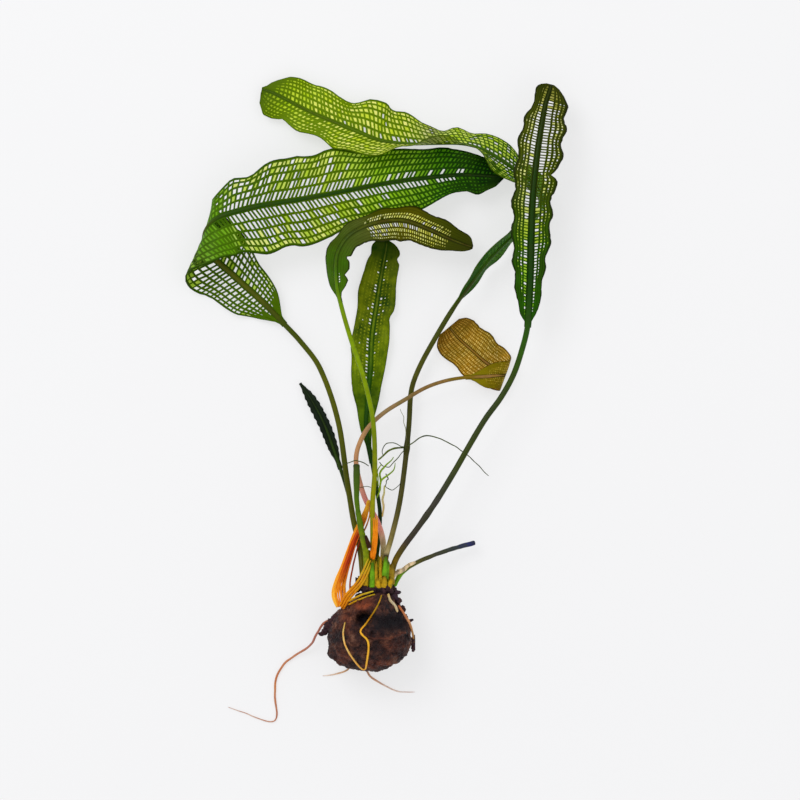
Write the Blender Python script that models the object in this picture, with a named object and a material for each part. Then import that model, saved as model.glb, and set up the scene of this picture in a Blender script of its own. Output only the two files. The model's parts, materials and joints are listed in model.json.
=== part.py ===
# A Madagascar lace plant, lifted from the water and laid on a flat surface.
# The tuber rests on a flat patch at the origin, the leaves reach out along +Y,
# and +Z is up. Tables are in millimetres and degrees, the model is in metres.
import math

import bmesh
import bpy
from mathutils import Vector

MM = 0.001

# tuber: centre height, half height, and how far each direction reaches in plan,
# every 15 degrees counter-clockwise from +X
TUBER_MIDDLE = 13.0
TUBER_HALF_HEIGHT = 15.0
TUBER_REACH = (15.2, 14.2, 14.2, 14.8, 15.6, 16.8, 16.9, 16.0, 13.2, 12.7, 13.9, 14.5,
               15.5, 16.2, 17.6, 16.8, 15.8, 15.3, 15.0, 15.1, 15.5, 15.8, 16.3, 16.1)
TUBER_SIDES = 28
TUBER_RINGS = 14

# dents and lumps on the tuber: x, y, radius, height
TUBER_LUMPS = (
    (-1.0, 3.0, 4.6, -3.0),
    (7.5, 2.5, 5.0, -1.6),
    (8.5, -3.5, 4.0, 0.9),
    (-9.5, -3.0, 4.5, 0.8),
    (1.0, -9.5, 4.5, 0.7),
    (-2.5, 10.5, 3.0, 0.8),
    (-11.5, 3.0, 2.6, -0.8),
)

BLADE_THICKNESS = 0.5
HEX_HALF_WIDTH = 0.866
HEX_SIDE = 0.5

# blade columns as shares of the half width, and the cells that are lace windows
TWO_ROWS = ((0.44, 0.54, 0.84, 1.0), (0, 2))
ONE_ROW = ((0.5, 1.0), (0,))
NO_ROWS = ((0.55, 1.0), ())
NARROWEST_LACE = 3.2

# wavy margins: how much the waves push the outline, and the half width with full waves
WAVE_PUSH = 0.05
WAVE_FULL_WIDTH = 8.0
LEAST_BLADE = 0.3

# the last step of each blade, as a share of the others, so that its end is blunt
BLUNT_END = 0.4

# stalk of each leaf: x, y, z from the crown to the blade
# blade: x, y, z of the midrib, half width left and right, tilt left and right
FOLDED_STALK = ((-2.4, 17.8, 14.4), (-3.6, 30, 11), (-6.2, 41.5, 8), (-8.6, 56.5, 6.8),
                (-12, 78.5, 5.6), (-18.8, 98, 4.6), (-26, 107.8, 3.6), (-31.8, 114, 3))
FOLDED_BLADE = ((-39.5, 122, 2.9, 7.5, 6.5, -8, 4), (-50.5, 132, 2.9, 12.5, 11, -8, 2),
                (-61, 142, 2.9, 14, 14, -6, 0))
# the second half of this blade as it lies, curled back over the first
FOLDED_BACK = ((-55.5, 154.1, 14.6, 15, 8.4, 0, 0), (-49, 156.1, 14.6, 16.6, 12.6, -2, -1),
               (-41, 158, 14.6, 17.5, 14.6, -4, -2), (-35, 159, 14.5, 17.3, 16.4, -6, -3),
               (-26, 160.4, 14.2, 17, 15.6, -8, -4), (-11, 163.2, 13.4, 14.5, 16, -10, -5),
               (4, 166.2, 12.4, 13.5, 12.6, -8, -5), (19, 168.4, 11, 11, 11.5, -6, -6),
               (34, 169.8, 9.4, 6.6, 9.6, -5, -8), (42, 169.6, 8.3, 5.2, 7.2, -5, -8),
               (47, 169.3, 7.7, 4, 5, -3, -5), (50, 169, 7.4, 0.6, 0.6, 0, 0))

FOLD_OVER = {"edge": (-61.9, 147.8), "along": (0.31, 0.95), "sheet_height": 2.9, "line_height": 8.7}

BACK_STALK = ((4.8, 17.2, 16.2), (6, 27.4, 14.4), (8, 34.5, 12.6), (10.9, 46.5, 9.6),
              (12.9, 60, 6.4), (14.6, 76.5, 4.4), (15.5, 89.6, 4.2), (18.2, 97.4, 4.6),
              (22.8, 106.2, 5.6), (30.8, 119.6, 7))
BACK_BLADE = ((38, 129.8, 8, 4.2, 4.2, 66, -66), (45.6, 139.6, 8.4, 5.6, 5.6, 68, -68),
              (53.5, 147.4, 8.6, 6.4, 6.4, 72, -72), (61, 153.5, 8.6, 7, 7, 78, -76),
              (64.2, 160.5, 8.6, 7.4, 7.4, 78, -74), (61.5, 166.6, 8.6, 7.8, 7.8, 66, -62),
              (54.8, 171.4, 8.8, 8, 8.2, 52, -48), (48.6, 175.6, 9.2, 8.2, 9, 52, -46),
              (42, 179.4, 9.6, 8.4, 10, 74, -52), (34.5, 181.3, 9.8, 8.6, 11, 94, -58),
              (24.4, 181.4, 9.8, 9.4, 11.6, 104, -54), (14.6, 181.3, 9, 11, 13, 84, -36),
              (3.8, 182.6, 8, 12.6, 14.4, 60, -16), (-4.5, 186, 7, 12, 13, 46, -8),
              (-10, 188.3, 6.3, 10.4, 10, 26, -6), (-15, 190.4, 5.6, 8, 9.4, 14, -4),
              (-24, 194.4, 4.6, 7.8, 10.6, 4, -2), (-32.4, 198.9, 3.8, 9, 8.4, 0, 0),
              (-36.7, 201, 3.3, 8.4, 5, 0, 0), (-39.2, 201.9, 3, 5.6, 1.8, 0, 0),
              (-40.5, 202.3, 2.9, 1.4, 0.5, 0, 0))

TALL_STALK = ((7.8, 18.4, 14.2), (9.2, 25.6, 14.8), (12.6, 31.4, 15.2), (17.4, 37.8, 15.2),
              (24.4, 47.8, 14.9), (31.2, 58.8, 14.5), (37.8, 70.3, 14), (43.2, 79.2, 13.6),
              (48.8, 86.8, 13.4), (53.6, 95.6, 13.4), (57, 106, 14.6), (58.6, 112.9, 15.8))
TALL_BLADE = ((58.9, 118, 16.7, 3.2, 3, -5, -5), (59.2, 123.4, 17.6, 4.6, 4, -6, -6),
              (59.6, 134.6, 19, 6.4, 5.4, -8, -8), (59.8, 146, 20, 7, 7.2, -10, -10),
              (60.4, 160.9, 20.6, 7.4, 7.6, -10, -12), (61.9, 175.9, 19.6, 7.4, 9.2, -8, -12),
              (63.6, 187.1, 17, 7, 9, -6, -8), (65.6, 197.4, 13.4, 4, 7.8, -4, -6),
              (67.4, 202.4, 11.4, 3.6, 5.2, -2, -3), (69, 204.8, 10.4, 1.6, 1.6, 0, 0))

ARCHED_STALK = ((1.3, 17, 16.2), (1.1, 35.2, 15.4), (1.1, 48.4, 14.2), (1.9, 59.6, 13),
                (1.4, 76.5, 12.2), (-0.2, 86, 12.6), (-3.2, 97.2, 13.6), (-7, 108.4, 14.8),
                (-10.9, 122.2, 16.4))
ARCHED_BLADE = ((-12.4, 131, 18, 6, 6.2, -54, 42), (-12, 139.8, 19.4, 6.3, 7.4, -52, 44),
                (-8.2, 146.2, 20, 5.8, 7, -50, 42), (-2.2, 150, 19.8, 6.2, 7, -50, 28),
                (5.4, 152.2, 18.8, 7, 7.8, -52, 6), (13.2, 152.4, 17.2, 7.4, 7.6, -44, -6),
                (22.2, 149.2, 14.6, 6.8, 6.4, -32, -8), (29.4, 146, 12.2, 5.8, 5, -22, -8),
                (35, 143.9, 10.4, 4.2, 2.8, -10, -5), (38.4, 142.8, 9.6, 0.6, 0.6, 0, 0))

DARK_STALK = ((0.6, 17.8, 12.4), (2.6, 28, 8.4), (3.8, 42.8, 4.6), (2.6, 52.1, 3.6),
              (0.8, 62.2, 3))
DARK_BLADE = ((-1.4, 74.6, 2.2, 2, 2.2, -4, 4), (-0.8, 86, 2, 5, 4, -6, 6),
              (0.2, 97, 2, 7.6, 5.4, -6, 8), (0.8, 110, 2, 7.2, 6.6, -4, 10),
              (2.8, 123.4, 2, 7.4, 6.8, -6, 6), (4.6, 134.6, 2, 6.8, 6, -4, 8),
              (6, 142, 2, 5.8, 5.3, -2, 4), (6.3, 144, 2, 5, 3.6, 0, 2),
              (6.4, 145.6, 2, 3.8, 0.8, 0, 0))

YELLOW_STALK = ((3.8, 17.8, 12.4), (4.9, 26, 10.4), (4.9, 33.4, 9.2), (3, 40.1, 8.4),
                (-1.5, 48.4, 7.6), (-4, 56, 7.2), (-5.2, 62.6, 7), (-4.5, 68, 7),
                (-0.8, 75.4, 7.2), (5.6, 81.4, 8.2), (13.1, 86, 9.2), (20.6, 90.4, 9),
                (28, 93, 8.6), (35.6, 94.3, 8.2))
YELLOW_BLADE = ((43, 94.6, 8.2, 3.4, 4, 4, -4), (50, 95, 8.2, 5.6, 5.6, 0, 0))
# the second half of this blade as it lies, folded back under the first
YELLOW_UNDER = ((44.4, 99.2, 1.9, 8.4, 8.4, 0, 0), (38.1, 104.6, 2, 8.9, 8.9, 0, 0),
                (32.8, 109.4, 2.2, 8.6, 8.6, 2, 2), (30.6, 112, 2.2, 7, 7, 0, 0),
                (29.6, 113.2, 2.2, 4.6, 4.6, 0, 0))

FOLD_UNDER = {"edge": (51.6, 97.5), "along": (-0.36, -0.93), "sheet_height": 8.2, "line_height": 5.1}

SMALL_STALK = ((-2.6, 17.6, 11), (-3.5, 30, 7), (-6.2, 42.6, 4.4), (-8.8, 53, 3.4), (-11, 60, 3))
SMALL_BLADE = ((-13.4, 67, 2.4, 1.8, 1.8, 20, 20), (-17, 76.6, 2, 2.4, 2.2, 24, 20),
               (-21.9, 86, 1.8, 2.1, 1.9, 20, 20), (-26.2, 92.2, 1.4, 0.3, 0.3, 0, 0))

CUT_LEFT = ((-1, 16.8, 18.8, 1.1), (-1.5, 29.6, 18.2, 1.25), (-3.4, 39, 16.6, 1.2),
            (-4.8, 48.4, 15, 1.0), (-4.9, 55.4, 14.4, 1.3), (-4.9, 62.2, 14, 1.4))
CUT_RIGHT = ((9, 16.4, 10.6, 0.8), (11.2, 20.6, 10.4, 1.0), (15, 24, 9.6, 0.9),
             (22.5, 27.4, 7.8, 0.85), (30, 30, 6, 0.9), (39.4, 32.6, 4.6, 1.0))

# orange bundle: x, y, z, radius of its middle strand, and the spread of its strands
BUNDLE = ((-2, 46.8, 12.6, 0.3), (-4.2, 40.4, 12.8, 0.35), (-5.9, 33.4, 13, 0.35),
          (-7.9, 25.8, 13.2, 0.38), (-10.1, 18.2, 13.6, 0.38), (-10.7, 14.6, 14.2, 0.36),
          (-11, 12.2, 15, 0.3))
BUNDLE_SPREAD = (0.85, 0.9, 0.95, 0.9, 1.15, 1.1, 0.9)
BUNDLE_STRANDS = 5

# single roots and threads: x, y, z, radius; z of None lies on the tuber
ROOT_BACK = ((-10.3, 9.4, 16.4, 0.4), (-7.6, 12.6, 17.8, 0.42), (-4.6, 16.6, 19.6, 0.42),
             (-1.8, 21.6, 20.8, 0.4), (0.4, 27, 18.8, 0.34))
ROOT_STRIP = ((1.8, 41.8, 16.4, 0.3), (2.2, 35.2, 17.2, 0.6), (1.5, 27.8, 17.6, 0.35))
ROOT_OVER = ((-9, 9.2, None, 0.35), (-6.6, 11.2, None, 0.4), (-3, 12.6, None, 0.4),
             (2, 13.4, None, 0.3))
ROOT_ZIGZAG = ((4.1, 12.4, None, 0.28), (2.2, 7.9, None, 0.36), (-1, 3.2, None, 0.4),
               (-3.4, 0, None, 0.42), (-0.8, -2.8, None, 0.42), (-0.2, -5.4, None, 0.42),
               (-0.8, -10, None, 0.42), (-2.1, -14.8, None, 0.4), (-6.4, -9.8, None, 0.4),
               (-9, -4.4, None, 0.4), (-9.6, 0, None, 0.36), (-8.9, 4, None, 0.3))
ROOT_LONG = ((-13.2, 6.8, 15.4, 0.5), (-15, 4.9, 13.8, 0.5), (-17.4, 2.8, 10, 0.5),
             (-19.6, -1, 6.4, 0.5), (-22.4, -6, 3, 0.48), (-27, -9.2, 1.2, 0.46),
             (-32.2, -13.1, 0.7, 0.45), (-35.2, -18.4, 0.6, 0.45), (-35.6, -25.5, 0.6, 0.42),
             (-34.9, -32.4, 0.5, 0.36), (-36, -34.6, 0.5, 0.3), (-40, -34.2, 0.5, 0.26),
             (-46.9, -31.4, 0.5, 0.22), (-53.2, -29.3, 0.5, 0.16))
ROOT_LOW_RIGHT = ((-2.4, -12.6, 1.8, 0.4), (0, -17.6, 0.8, 0.45), (3.8, -20.2, 0.6, 0.4),
                  (10.5, -23.4, 0.5, 0.3), (16.9, -23.6, 0.5, 0.18))
ROOT_LOW_LEFT = ((-6.4, -12, 1.8, 0.4), (-8.6, -15.4, 0.9, 0.4), (-12.4, -16.8, 0.6, 0.32),
                 (-18, -17.6, 0.5, 0.2))
ROOT_WHITE = ((7.1, 12.8, None, 0.4), (8, 10.4, None, 0.5), (9.6, 8, None, 0.5),
              (10.4, 5.6, None, 0.35))
ROOT_SIDE = ((11.4, 9.2, None, 0.4), (12.9, 6.6, None, 0.45), (14.3, 3.2, None, 0.3))
ROOT_CREAM = ((5.8, 54.4, 10.4, 0.3), (5.1, 50, 10.6, 0.4), (5, 45.6, 11, 0.4),
              (4.5, 42.4, 11.6, 0.3))

THREAD_RIGHT = ((14, 68.8, 7.2, 0.25), (20.4, 72.3, 7.6, 0.28), (25.2, 71.8, 8.2, 0.25),
                (34.1, 67, 9.4, 0.22), (40, 62, 9, 0.2), (44.2, 57.4, 8.4, 0.16))
THREAD_THICK = ((3.2, 63.6, 7, 0.3), (5.8, 66, 6.8, 0.42), (8.4, 67.3, 6.8, 0.42),
                (11.2, 68, 7, 0.36), (13.2, 68.2, 7.3, 0.3))
THREAD_TUFT = ((3.9, 52.4, 12.2, 0.35), (4, 56.6, 11.6, 0.45), (5.2, 60.6, 11, 0.4),
               (8.6, 64.6, 10.4, 0.2))

SHEATH_LEFT = ((-3.9, 18, 17, 0.5), (-3.7, 19.6, 17.6, 0.8), (-3.5, 21.4, 18, 0.4))
SHEATH_RIGHT = ((8.7, 18.4, 17, 0.4), (8.8, 21.6, 17.4, 0.8), (9.4, 26, 17.8, 0.5))

# gap between the tuber and what lies on it
TUBER_LIFT = 0.6


def clear_scene():
    for leftover in list(bpy.data.objects):
        bpy.data.objects.remove(leftover, do_unlink=True)


def add_material(piece, colour, roughness):
    material = bpy.data.materials.new(piece.name)
    material.use_nodes = True
    shader = material.node_tree.nodes["Principled BSDF"]
    shader.inputs["Base Color"].default_value = (*colour, 1.0)
    shader.inputs["Roughness"].default_value = roughness
    shader.inputs["Metallic"].default_value = 0.0
    piece.data.materials.append(material)


# A smooth curve through rows of numbers whose first three are a place.
class SmoothRows:
    def __init__(self, rows):
        self.rows = [tuple(float(value) for value in row) for row in rows]
        self.marks = [0.0]
        for first, second in zip(self.rows, self.rows[1:]):
            step = (Vector(second[:3]) - Vector(first[:3])).length
            self.marks.append(self.marks[-1] + step)
        self.length = self.marks[-1]

    def slope(self, index, column):
        before = max(index - 1, 0)
        after = min(index + 1, len(self.rows) - 1)
        rise = self.rows[after][column] - self.rows[before][column]
        return rise / (self.marks[after] - self.marks[before])

    def at(self, mark):
        index = 0
        while index < len(self.rows) - 2 and mark > self.marks[index + 1]:
            index += 1
        span = self.marks[index + 1] - self.marks[index]
        t = min(max((mark - self.marks[index]) / span, 0.0), 1.0)
        rise = t * t * (3.0 - 2.0 * t)
        leave = t * (1.0 - t) ** 2 * span
        arrive = -t * t * (1.0 - t) * span
        values = []
        for column in range(len(self.rows[0])):
            start = self.rows[index][column]
            end = self.rows[index + 1][column]
            bend = leave * self.slope(index, column) + arrive * self.slope(index + 1, column)
            values.append(start + (end - start) * rise + bend)
        return values

    def heading(self, mark):
        step = min(0.5, self.length / 50.0)
        ahead = Vector(self.at(min(mark + step, self.length))[:3])
        behind = Vector(self.at(max(mark - step, 0.0))[:3])
        return (ahead - behind).normalized()


# A sheet of the blade rolls about a level line: flat on one side of the line,
# turned back over or under itself on the other.
class Roll:
    def __init__(self, edge, along, sheet_height, line_height):
        self.along = Vector((along[0], along[1])).normalized()
        self.out = Vector((-self.along.y, self.along.x))
        self.line_height = line_height
        self.radius = abs(line_height - sheet_height)
        self.line = Vector(edge) - self.out * self.radius

    def rolled(self, point):
        offset = Vector((point.x, point.y)) - self.line
        across = offset.dot(self.out)
        if across <= 0.0:
            return point
        turn = min(across / self.radius, math.pi)
        lever = self.line_height - point.z
        reach = abs(lever) * math.sin(turn) - max(across - math.pi * self.radius, 0.0)
        plan = self.line + self.along * offset.dot(self.along) + self.out * reach
        return Vector((plan.x, plan.y, self.line_height - lever * math.cos(turn)))

    # The flat place of a row that is given where it lies after the turn.
    def unrolled(self, row):
        offset = Vector((row[0], row[1])) - self.line
        across = math.pi * self.radius - offset.dot(self.out)
        plan = self.line + self.along * offset.dot(self.along) + self.out * across
        height = 2.0 * self.line_height - row[2]
        return (plan.x, plan.y, height, row[3], row[4], -row[5], -row[6])


# One leaf: a six-sided stalk that runs on as the midrib, with a thin blade on
# both sides of it and rows of open windows between the veins.
def build_leaf(name, stalk, blade, radii, stations, lace, ripple, colour, roll=None):
    first_tilt = blade[0][5:7]
    rows = [(*place, 0.0, 0.0, *first_tilt) for place in stalk] + list(blade)
    curve = SmoothRows(rows)
    blade_start = curve.marks[len(stalk) - 1]
    stalk_stations, blade_stations = stations
    shares, window_cells = lace
    marks = [blade_start * k / stalk_stations for k in range(stalk_stations)]
    blade_length = curve.length - blade_start
    step = blade_length / (blade_stations - 1 + BLUNT_END)
    marks += [blade_start + step * k for k in range(blade_stations)] + [curve.length]
    outer = len(shares) + 1
    solid = bmesh.new()
    places = {}

    def radius_at(mark):
        if mark < blade_start:
            share = mark / blade_start
            return radii[0] + (radii[1] - radii[0]) * share
        share = (mark - blade_start) / blade_length
        return radii[1] + (radii[2] - radii[1]) * share

    def add_point(station, column, point, normal, half):
        low = point - normal * half
        high = point + normal * half
        if roll:
            low = roll.rolled(low)
            high = roll.rolled(high)
        places[station, column] = (solid.verts.new(high * MM), solid.verts.new(low * MM))

    for station, mark in enumerate(marks):
        x, y, z, left, right, tilt_left, tilt_right = curve.at(mark)
        middle = Vector((x, y, z))
        forward = curve.heading(mark)
        level = Vector((forward.y, -forward.x, 0.0)).normalized()
        up = level.cross(forward)
        radius = radius_at(mark)
        sides = {}
        for sign, tilt in ((-1, tilt_left), (1, tilt_right)):
            angle = math.radians(tilt)
            sides[sign] = level * (sign * math.cos(angle)) + up * math.sin(angle)
        across = (sides[1] - sides[-1]).normalized()
        rib_up = across.cross(forward)
        add_point(station, 0, middle, rib_up, radius)
        for sign in (-1, 1):
            rib_edge = middle + across * (sign * HEX_HALF_WIDTH * radius)
            add_point(station, sign, rib_edge, rib_up, HEX_SIDE * radius)
            width = left if sign < 0 else right
            ends = mark <= blade_start or station == len(marks) - 1
            if ends:
                for step in range(len(shares)):
                    places[station, sign * (step + 2)] = places[station, sign]
                continue
            side_up = sides[sign].cross(forward) * sign
            span = max(width - HEX_HALF_WIDTH * radius, LEAST_BLADE)
            size, length, shift = ripple
            wave = math.sin(math.tau * mark / length + shift + sign)
            for step, share in enumerate(shares):
                lift = size * wave * share * share * min(width / WAVE_FULL_WIDTH, 1.0)
                reach = span * share * (1.0 + WAVE_PUSH * wave * share)
                spot = rib_edge + sides[sign] * reach
                spot += side_up * lift
                add_point(station, sign * (step + 2), spot, side_up, BLADE_THICKNESS / 2)

    first_blade = stalk_stations
    edges = {}
    for station in range(len(marks) - 1):
        width = min(curve.at(marks[station])[3:5] + curve.at(marks[station + 1])[3:5])
        inside = station - first_blade
        open_row = inside % 2 == 1 and inside < blade_stations - 2 and width > NARROWEST_LACE
        for column in range(-outer, outer):
            cell = max(-column, column + 1)
            if cell > 1 and station < first_blade:
                continue
            if open_row and cell > 1 and cell - 2 in window_cells:
                continue
            corners = [places[station, column], places[station, column + 1],
                       places[station + 1, column + 1], places[station + 1, column]]
            loop = []
            for corner in corners:
                if corner not in loop:
                    loop.append(corner)
            if len(loop) < 3:
                continue
            solid.faces.new([corner[0] for corner in loop])
            solid.faces.new([corner[1] for corner in reversed(loop)])
            for start, end in zip(loop, loop[1:] + loop[:1]):
                if (end, start) in edges:
                    del edges[end, start]
                else:
                    edges[start, end] = True
    for start, end in edges:
        solid.faces.new((end[0], start[0], start[1], end[1]))
    loose = [vert for vert in solid.verts if not vert.link_faces]
    bmesh.ops.delete(solid, geom=loose, context='VERTS')
    mesh = bpy.data.meshes.new(name)
    solid.to_mesh(mesh)
    solid.free()
    mesh.shade_smooth()
    mesh.set_sharp_from_angle(angle=math.radians(40))
    piece = bpy.data.objects.new(name, mesh)
    bpy.context.scene.collection.objects.link(piece)
    add_material(piece, colour, 0.4)


def tuber_reach(angle):
    turn = (angle % math.tau) / math.tau * len(TUBER_REACH)
    index = int(turn)
    share = turn - index
    share = share * share * (3.0 - 2.0 * share)
    following = (index + 1) % len(TUBER_REACH)
    return TUBER_REACH[index % len(TUBER_REACH)] * (1.0 - share) + TUBER_REACH[following] * share


def on_tuber(x, y, lift):
    reach = tuber_reach(math.atan2(y, x)) + lift
    share = min(math.hypot(x, y) / reach, 0.999)
    height = TUBER_HALF_HEIGHT + lift
    return TUBER_MIDDLE + height * math.sqrt(1.0 - share * share)


def build_tuber():
    solid = bmesh.new()
    bmesh.ops.create_uvsphere(solid, u_segments=TUBER_SIDES, v_segments=TUBER_RINGS, radius=1.0)
    for vert in solid.verts:
        angle = math.atan2(vert.co.y, vert.co.x)
        reach = tuber_reach(angle)
        x = vert.co.x * reach
        y = vert.co.y * reach
        z = TUBER_MIDDLE + TUBER_HALF_HEIGHT * vert.co.z
        if vert.co.z > 0.0:
            for lump_x, lump_y, size, height in TUBER_LUMPS:
                share = math.hypot(x - lump_x, y - lump_y) / size
                z += height * math.exp(-share * share)
        vert.co = Vector((x, y, max(z, 0.0))) * MM
    foot = [face for face in solid.faces if max(vert.co.z for vert in face.verts) < 1e-6]
    bmesh.ops.dissolve_faces(solid, faces=foot)
    stray = [vert for vert in solid.verts if not vert.link_faces]
    bmesh.ops.delete(solid, geom=stray, context='VERTS')
    mesh = bpy.data.meshes.new("tuber")
    solid.to_mesh(mesh)
    solid.free()
    mesh.shade_smooth()
    mesh.set_sharp_from_angle(angle=math.radians(50))
    piece = bpy.data.objects.new("tuber", mesh)
    bpy.context.scene.collection.objects.link(piece)
    add_material(piece, (0.06, 0.025, 0.018), 0.85)


# A root, thread or cut stalk: a tapered tube along a smooth route. Where the
# table gives no height, the tube lies on the tuber.
def build_tube(name, rows, points, sides, colour, roughness=0.5):
    lies_on_tuber = rows[0][2] is None
    placed = [(x, y, 0.0 if z is None else z, radius) for x, y, z, radius in rows]
    curve = SmoothRows(placed)
    data = bpy.data.curves.new(name, 'CURVE')
    data.dimensions = '3D'
    data.bevel_depth = MM
    data.bevel_resolution = sides
    data.use_fill_caps = True
    data.twist_mode = 'Z_UP'
    spline = data.splines.new('POLY')
    spline.points.add(points - 1)
    for index, point in enumerate(spline.points):
        x, y, z, radius = curve.at(curve.length * index / (points - 1))
        if lies_on_tuber:
            z = on_tuber(x, y, radius + TUBER_LIFT)
        point.co = (x * MM, y * MM, z * MM, 1.0)
        point.radius = radius
    piece = bpy.data.objects.new(name, data)
    bpy.context.scene.collection.objects.link(piece)
    add_material(piece, colour, roughness)


def build_bundle():
    for strand in range(BUNDLE_STRANDS):
        place = strand - (BUNDLE_STRANDS - 1) / 2
        rows = []
        for (x, y, z, radius), spread in zip(BUNDLE, BUNDLE_SPREAD):
            rise = 0.5 if strand % 2 else -0.1
            rows.append((x + place * spread, y - place * 0.5 * spread, z + rise, radius))
        build_tube(f"root_bundle_{strand + 1}", rows, 9, 0, (0.75, 0.22, 0.03))


clear_scene()
build_tuber()

fold_over = Roll(**FOLD_OVER)
folded_blade = list(FOLDED_BLADE) + [fold_over.unrolled(row) for row in FOLDED_BACK]
build_leaf("leaf_folded", FOLDED_STALK, folded_blade, (1.2, 1.2, 0.4), (9, 37),
           TWO_ROWS, (0.9, 19.0, 0.0), (0.2, 0.34, 0.02), roll=fold_over)
build_leaf("leaf_back", BACK_STALK, BACK_BLADE, (1.2, 1.1, 0.4), (10, 33),
           TWO_ROWS, (0.7, 17.0, 1.0), (0.22, 0.38, 0.03))
build_leaf("leaf_tall", TALL_STALK, TALL_BLADE, (1.2, 1.15, 0.4), (8, 25),
           TWO_ROWS, (0.8, 13.0, 2.0), (0.07, 0.13, 0.015))
build_leaf("leaf_arched", ARCHED_STALK, ARCHED_BLADE, (1.1, 1.1, 0.35), (8, 17),
           TWO_ROWS, (0.5, 14.0, 0.5), (0.16, 0.16, 0.02))
build_leaf("leaf_dark", DARK_STALK, DARK_BLADE, (0.9, 0.9, 0.5), (6, 15),
           ONE_ROW, (0.7, 18.0, 1.5), (0.07, 0.1, 0.012))
fold_under = Roll(**FOLD_UNDER)
yellow_blade = list(YELLOW_BLADE) + [fold_under.unrolled(row) for row in YELLOW_UNDER]
build_leaf("leaf_yellow", YELLOW_STALK, yellow_blade, (0.9, 0.85, 0.4), (14, 13),
           TWO_ROWS, (0.4, 12.0, 0.0), (0.32, 0.2, 0.03), roll=fold_under)
build_leaf("leaf_small", SMALL_STALK, SMALL_BLADE, (0.75, 0.75, 0.3), (5, 8),
           NO_ROWS, (0.3, 6.0, 0.0), (0.02, 0.035, 0.02))

build_tube("cut_stalk_left", CUT_LEFT, 8, 2, (0.1, 0.2, 0.02), 0.35)
build_tube("cut_stalk_right", CUT_RIGHT, 8, 1, (0.06, 0.09, 0.08), 0.35)

build_bundle()
build_tube("root_back", ROOT_BACK, 8, 0, (0.85, 0.42, 0.04))
build_tube("root_strip", ROOT_STRIP, 6, 0, (0.85, 0.35, 0.02))
build_tube("root_over", ROOT_OVER, 7, 0, (0.55, 0.42, 0.08))
build_tube("root_zigzag", ROOT_ZIGZAG, 22, 0, (0.85, 0.5, 0.12))
build_tube("root_long", ROOT_LONG, 22, 0, (0.75, 0.42, 0.22))
build_tube("root_low_right", ROOT_LOW_RIGHT, 8, 0, (0.8, 0.6, 0.45))
build_tube("root_low_left", ROOT_LOW_LEFT, 6, 0, (0.8, 0.6, 0.45))
build_tube("root_white", ROOT_WHITE, 7, 0, (0.85, 0.78, 0.6))
build_tube("root_side", ROOT_SIDE, 5, 0, (0.8, 0.5, 0.35))
build_tube("root_cream", ROOT_CREAM, 6, 0, (0.85, 0.75, 0.5))

build_tube("thread_right", THREAD_RIGHT, 11, 0, (0.12, 0.16, 0.03))
build_tube("thread_thick", THREAD_THICK, 6, 0, (0.28, 0.33, 0.04))
build_tube("thread_tuft", THREAD_TUFT, 7, 0, (0.4, 0.48, 0.05))

build_tube("sheath_left", SHEATH_LEFT, 4, 1, (0.1, 0.05, 0.03), 0.8)
build_tube("sheath_right", SHEATH_RIGHT, 4, 1, (0.35, 0.25, 0.06), 0.7)
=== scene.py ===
# A Madagascar lace plant, lifted out of the water and laid on a white table, seen from above.
import json
import math
import random

import bpy
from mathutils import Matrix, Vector, noise

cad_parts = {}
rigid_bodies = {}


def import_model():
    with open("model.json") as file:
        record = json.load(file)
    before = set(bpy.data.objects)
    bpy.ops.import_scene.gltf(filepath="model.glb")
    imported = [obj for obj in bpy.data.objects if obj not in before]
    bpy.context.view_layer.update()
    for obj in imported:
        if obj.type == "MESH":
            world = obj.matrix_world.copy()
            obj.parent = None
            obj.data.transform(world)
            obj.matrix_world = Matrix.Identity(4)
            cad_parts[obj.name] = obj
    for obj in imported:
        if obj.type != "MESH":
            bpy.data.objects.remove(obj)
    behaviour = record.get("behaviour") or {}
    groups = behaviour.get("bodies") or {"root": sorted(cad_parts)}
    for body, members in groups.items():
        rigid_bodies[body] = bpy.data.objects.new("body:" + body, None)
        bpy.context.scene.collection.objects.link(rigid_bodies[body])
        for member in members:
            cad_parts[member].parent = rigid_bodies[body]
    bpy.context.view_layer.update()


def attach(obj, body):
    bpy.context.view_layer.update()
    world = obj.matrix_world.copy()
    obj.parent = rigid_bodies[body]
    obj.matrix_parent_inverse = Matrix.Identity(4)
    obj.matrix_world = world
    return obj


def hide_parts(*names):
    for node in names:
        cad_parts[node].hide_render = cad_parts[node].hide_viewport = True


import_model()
print("solids loaded")

mm = 0.001
sameSpot = 0.000002  # points that are this close become one, in metres
bpy.context.scene.tool_settings.mesh_select_mode = (False, False, True)  # faces are picked as faces


# Small helpers.
def paint(red, green, blue):  # a colour as read off a screen, 0 to 255, made linear for the shaders
    linear = [c / 255 / 12.92 if c < 11 else ((c / 255 + 0.055) / 1.055) ** 2.4 for c in (red, green, blue)]
    return (*linear, 1.0)


def deselectAll():
    for item in bpy.data.objects:
        item.select_set(False)


def makeActive(piece):
    deselectAll()
    piece.select_set(True)
    bpy.context.view_layer.objects.active = piece


def newGrid(along, across):  # a flat sheet from -1 to 1 both ways, in so many cells
    deselectAll()
    bpy.ops.mesh.primitive_grid_add(x_subdivisions=along, y_subdivisions=across, size=2.0)
    return bpy.context.object


def newBall(level, radius):
    deselectAll()
    bpy.ops.mesh.primitive_ico_sphere_add(subdivisions=level, radius=radius)
    return bpy.context.object


def gridPlace(vert, along, across):  # the row and the column of a sheet's point
    return round((vert.co.x + 1) / 2 * along), round((vert.co.y + 1) / 2 * across)


def setUv(mesh, spots):
    for loop in mesh.loops:
        mesh.uv_layers["UVMap"].data[loop.index].uv = spots[loop.vertex_index]


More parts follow.
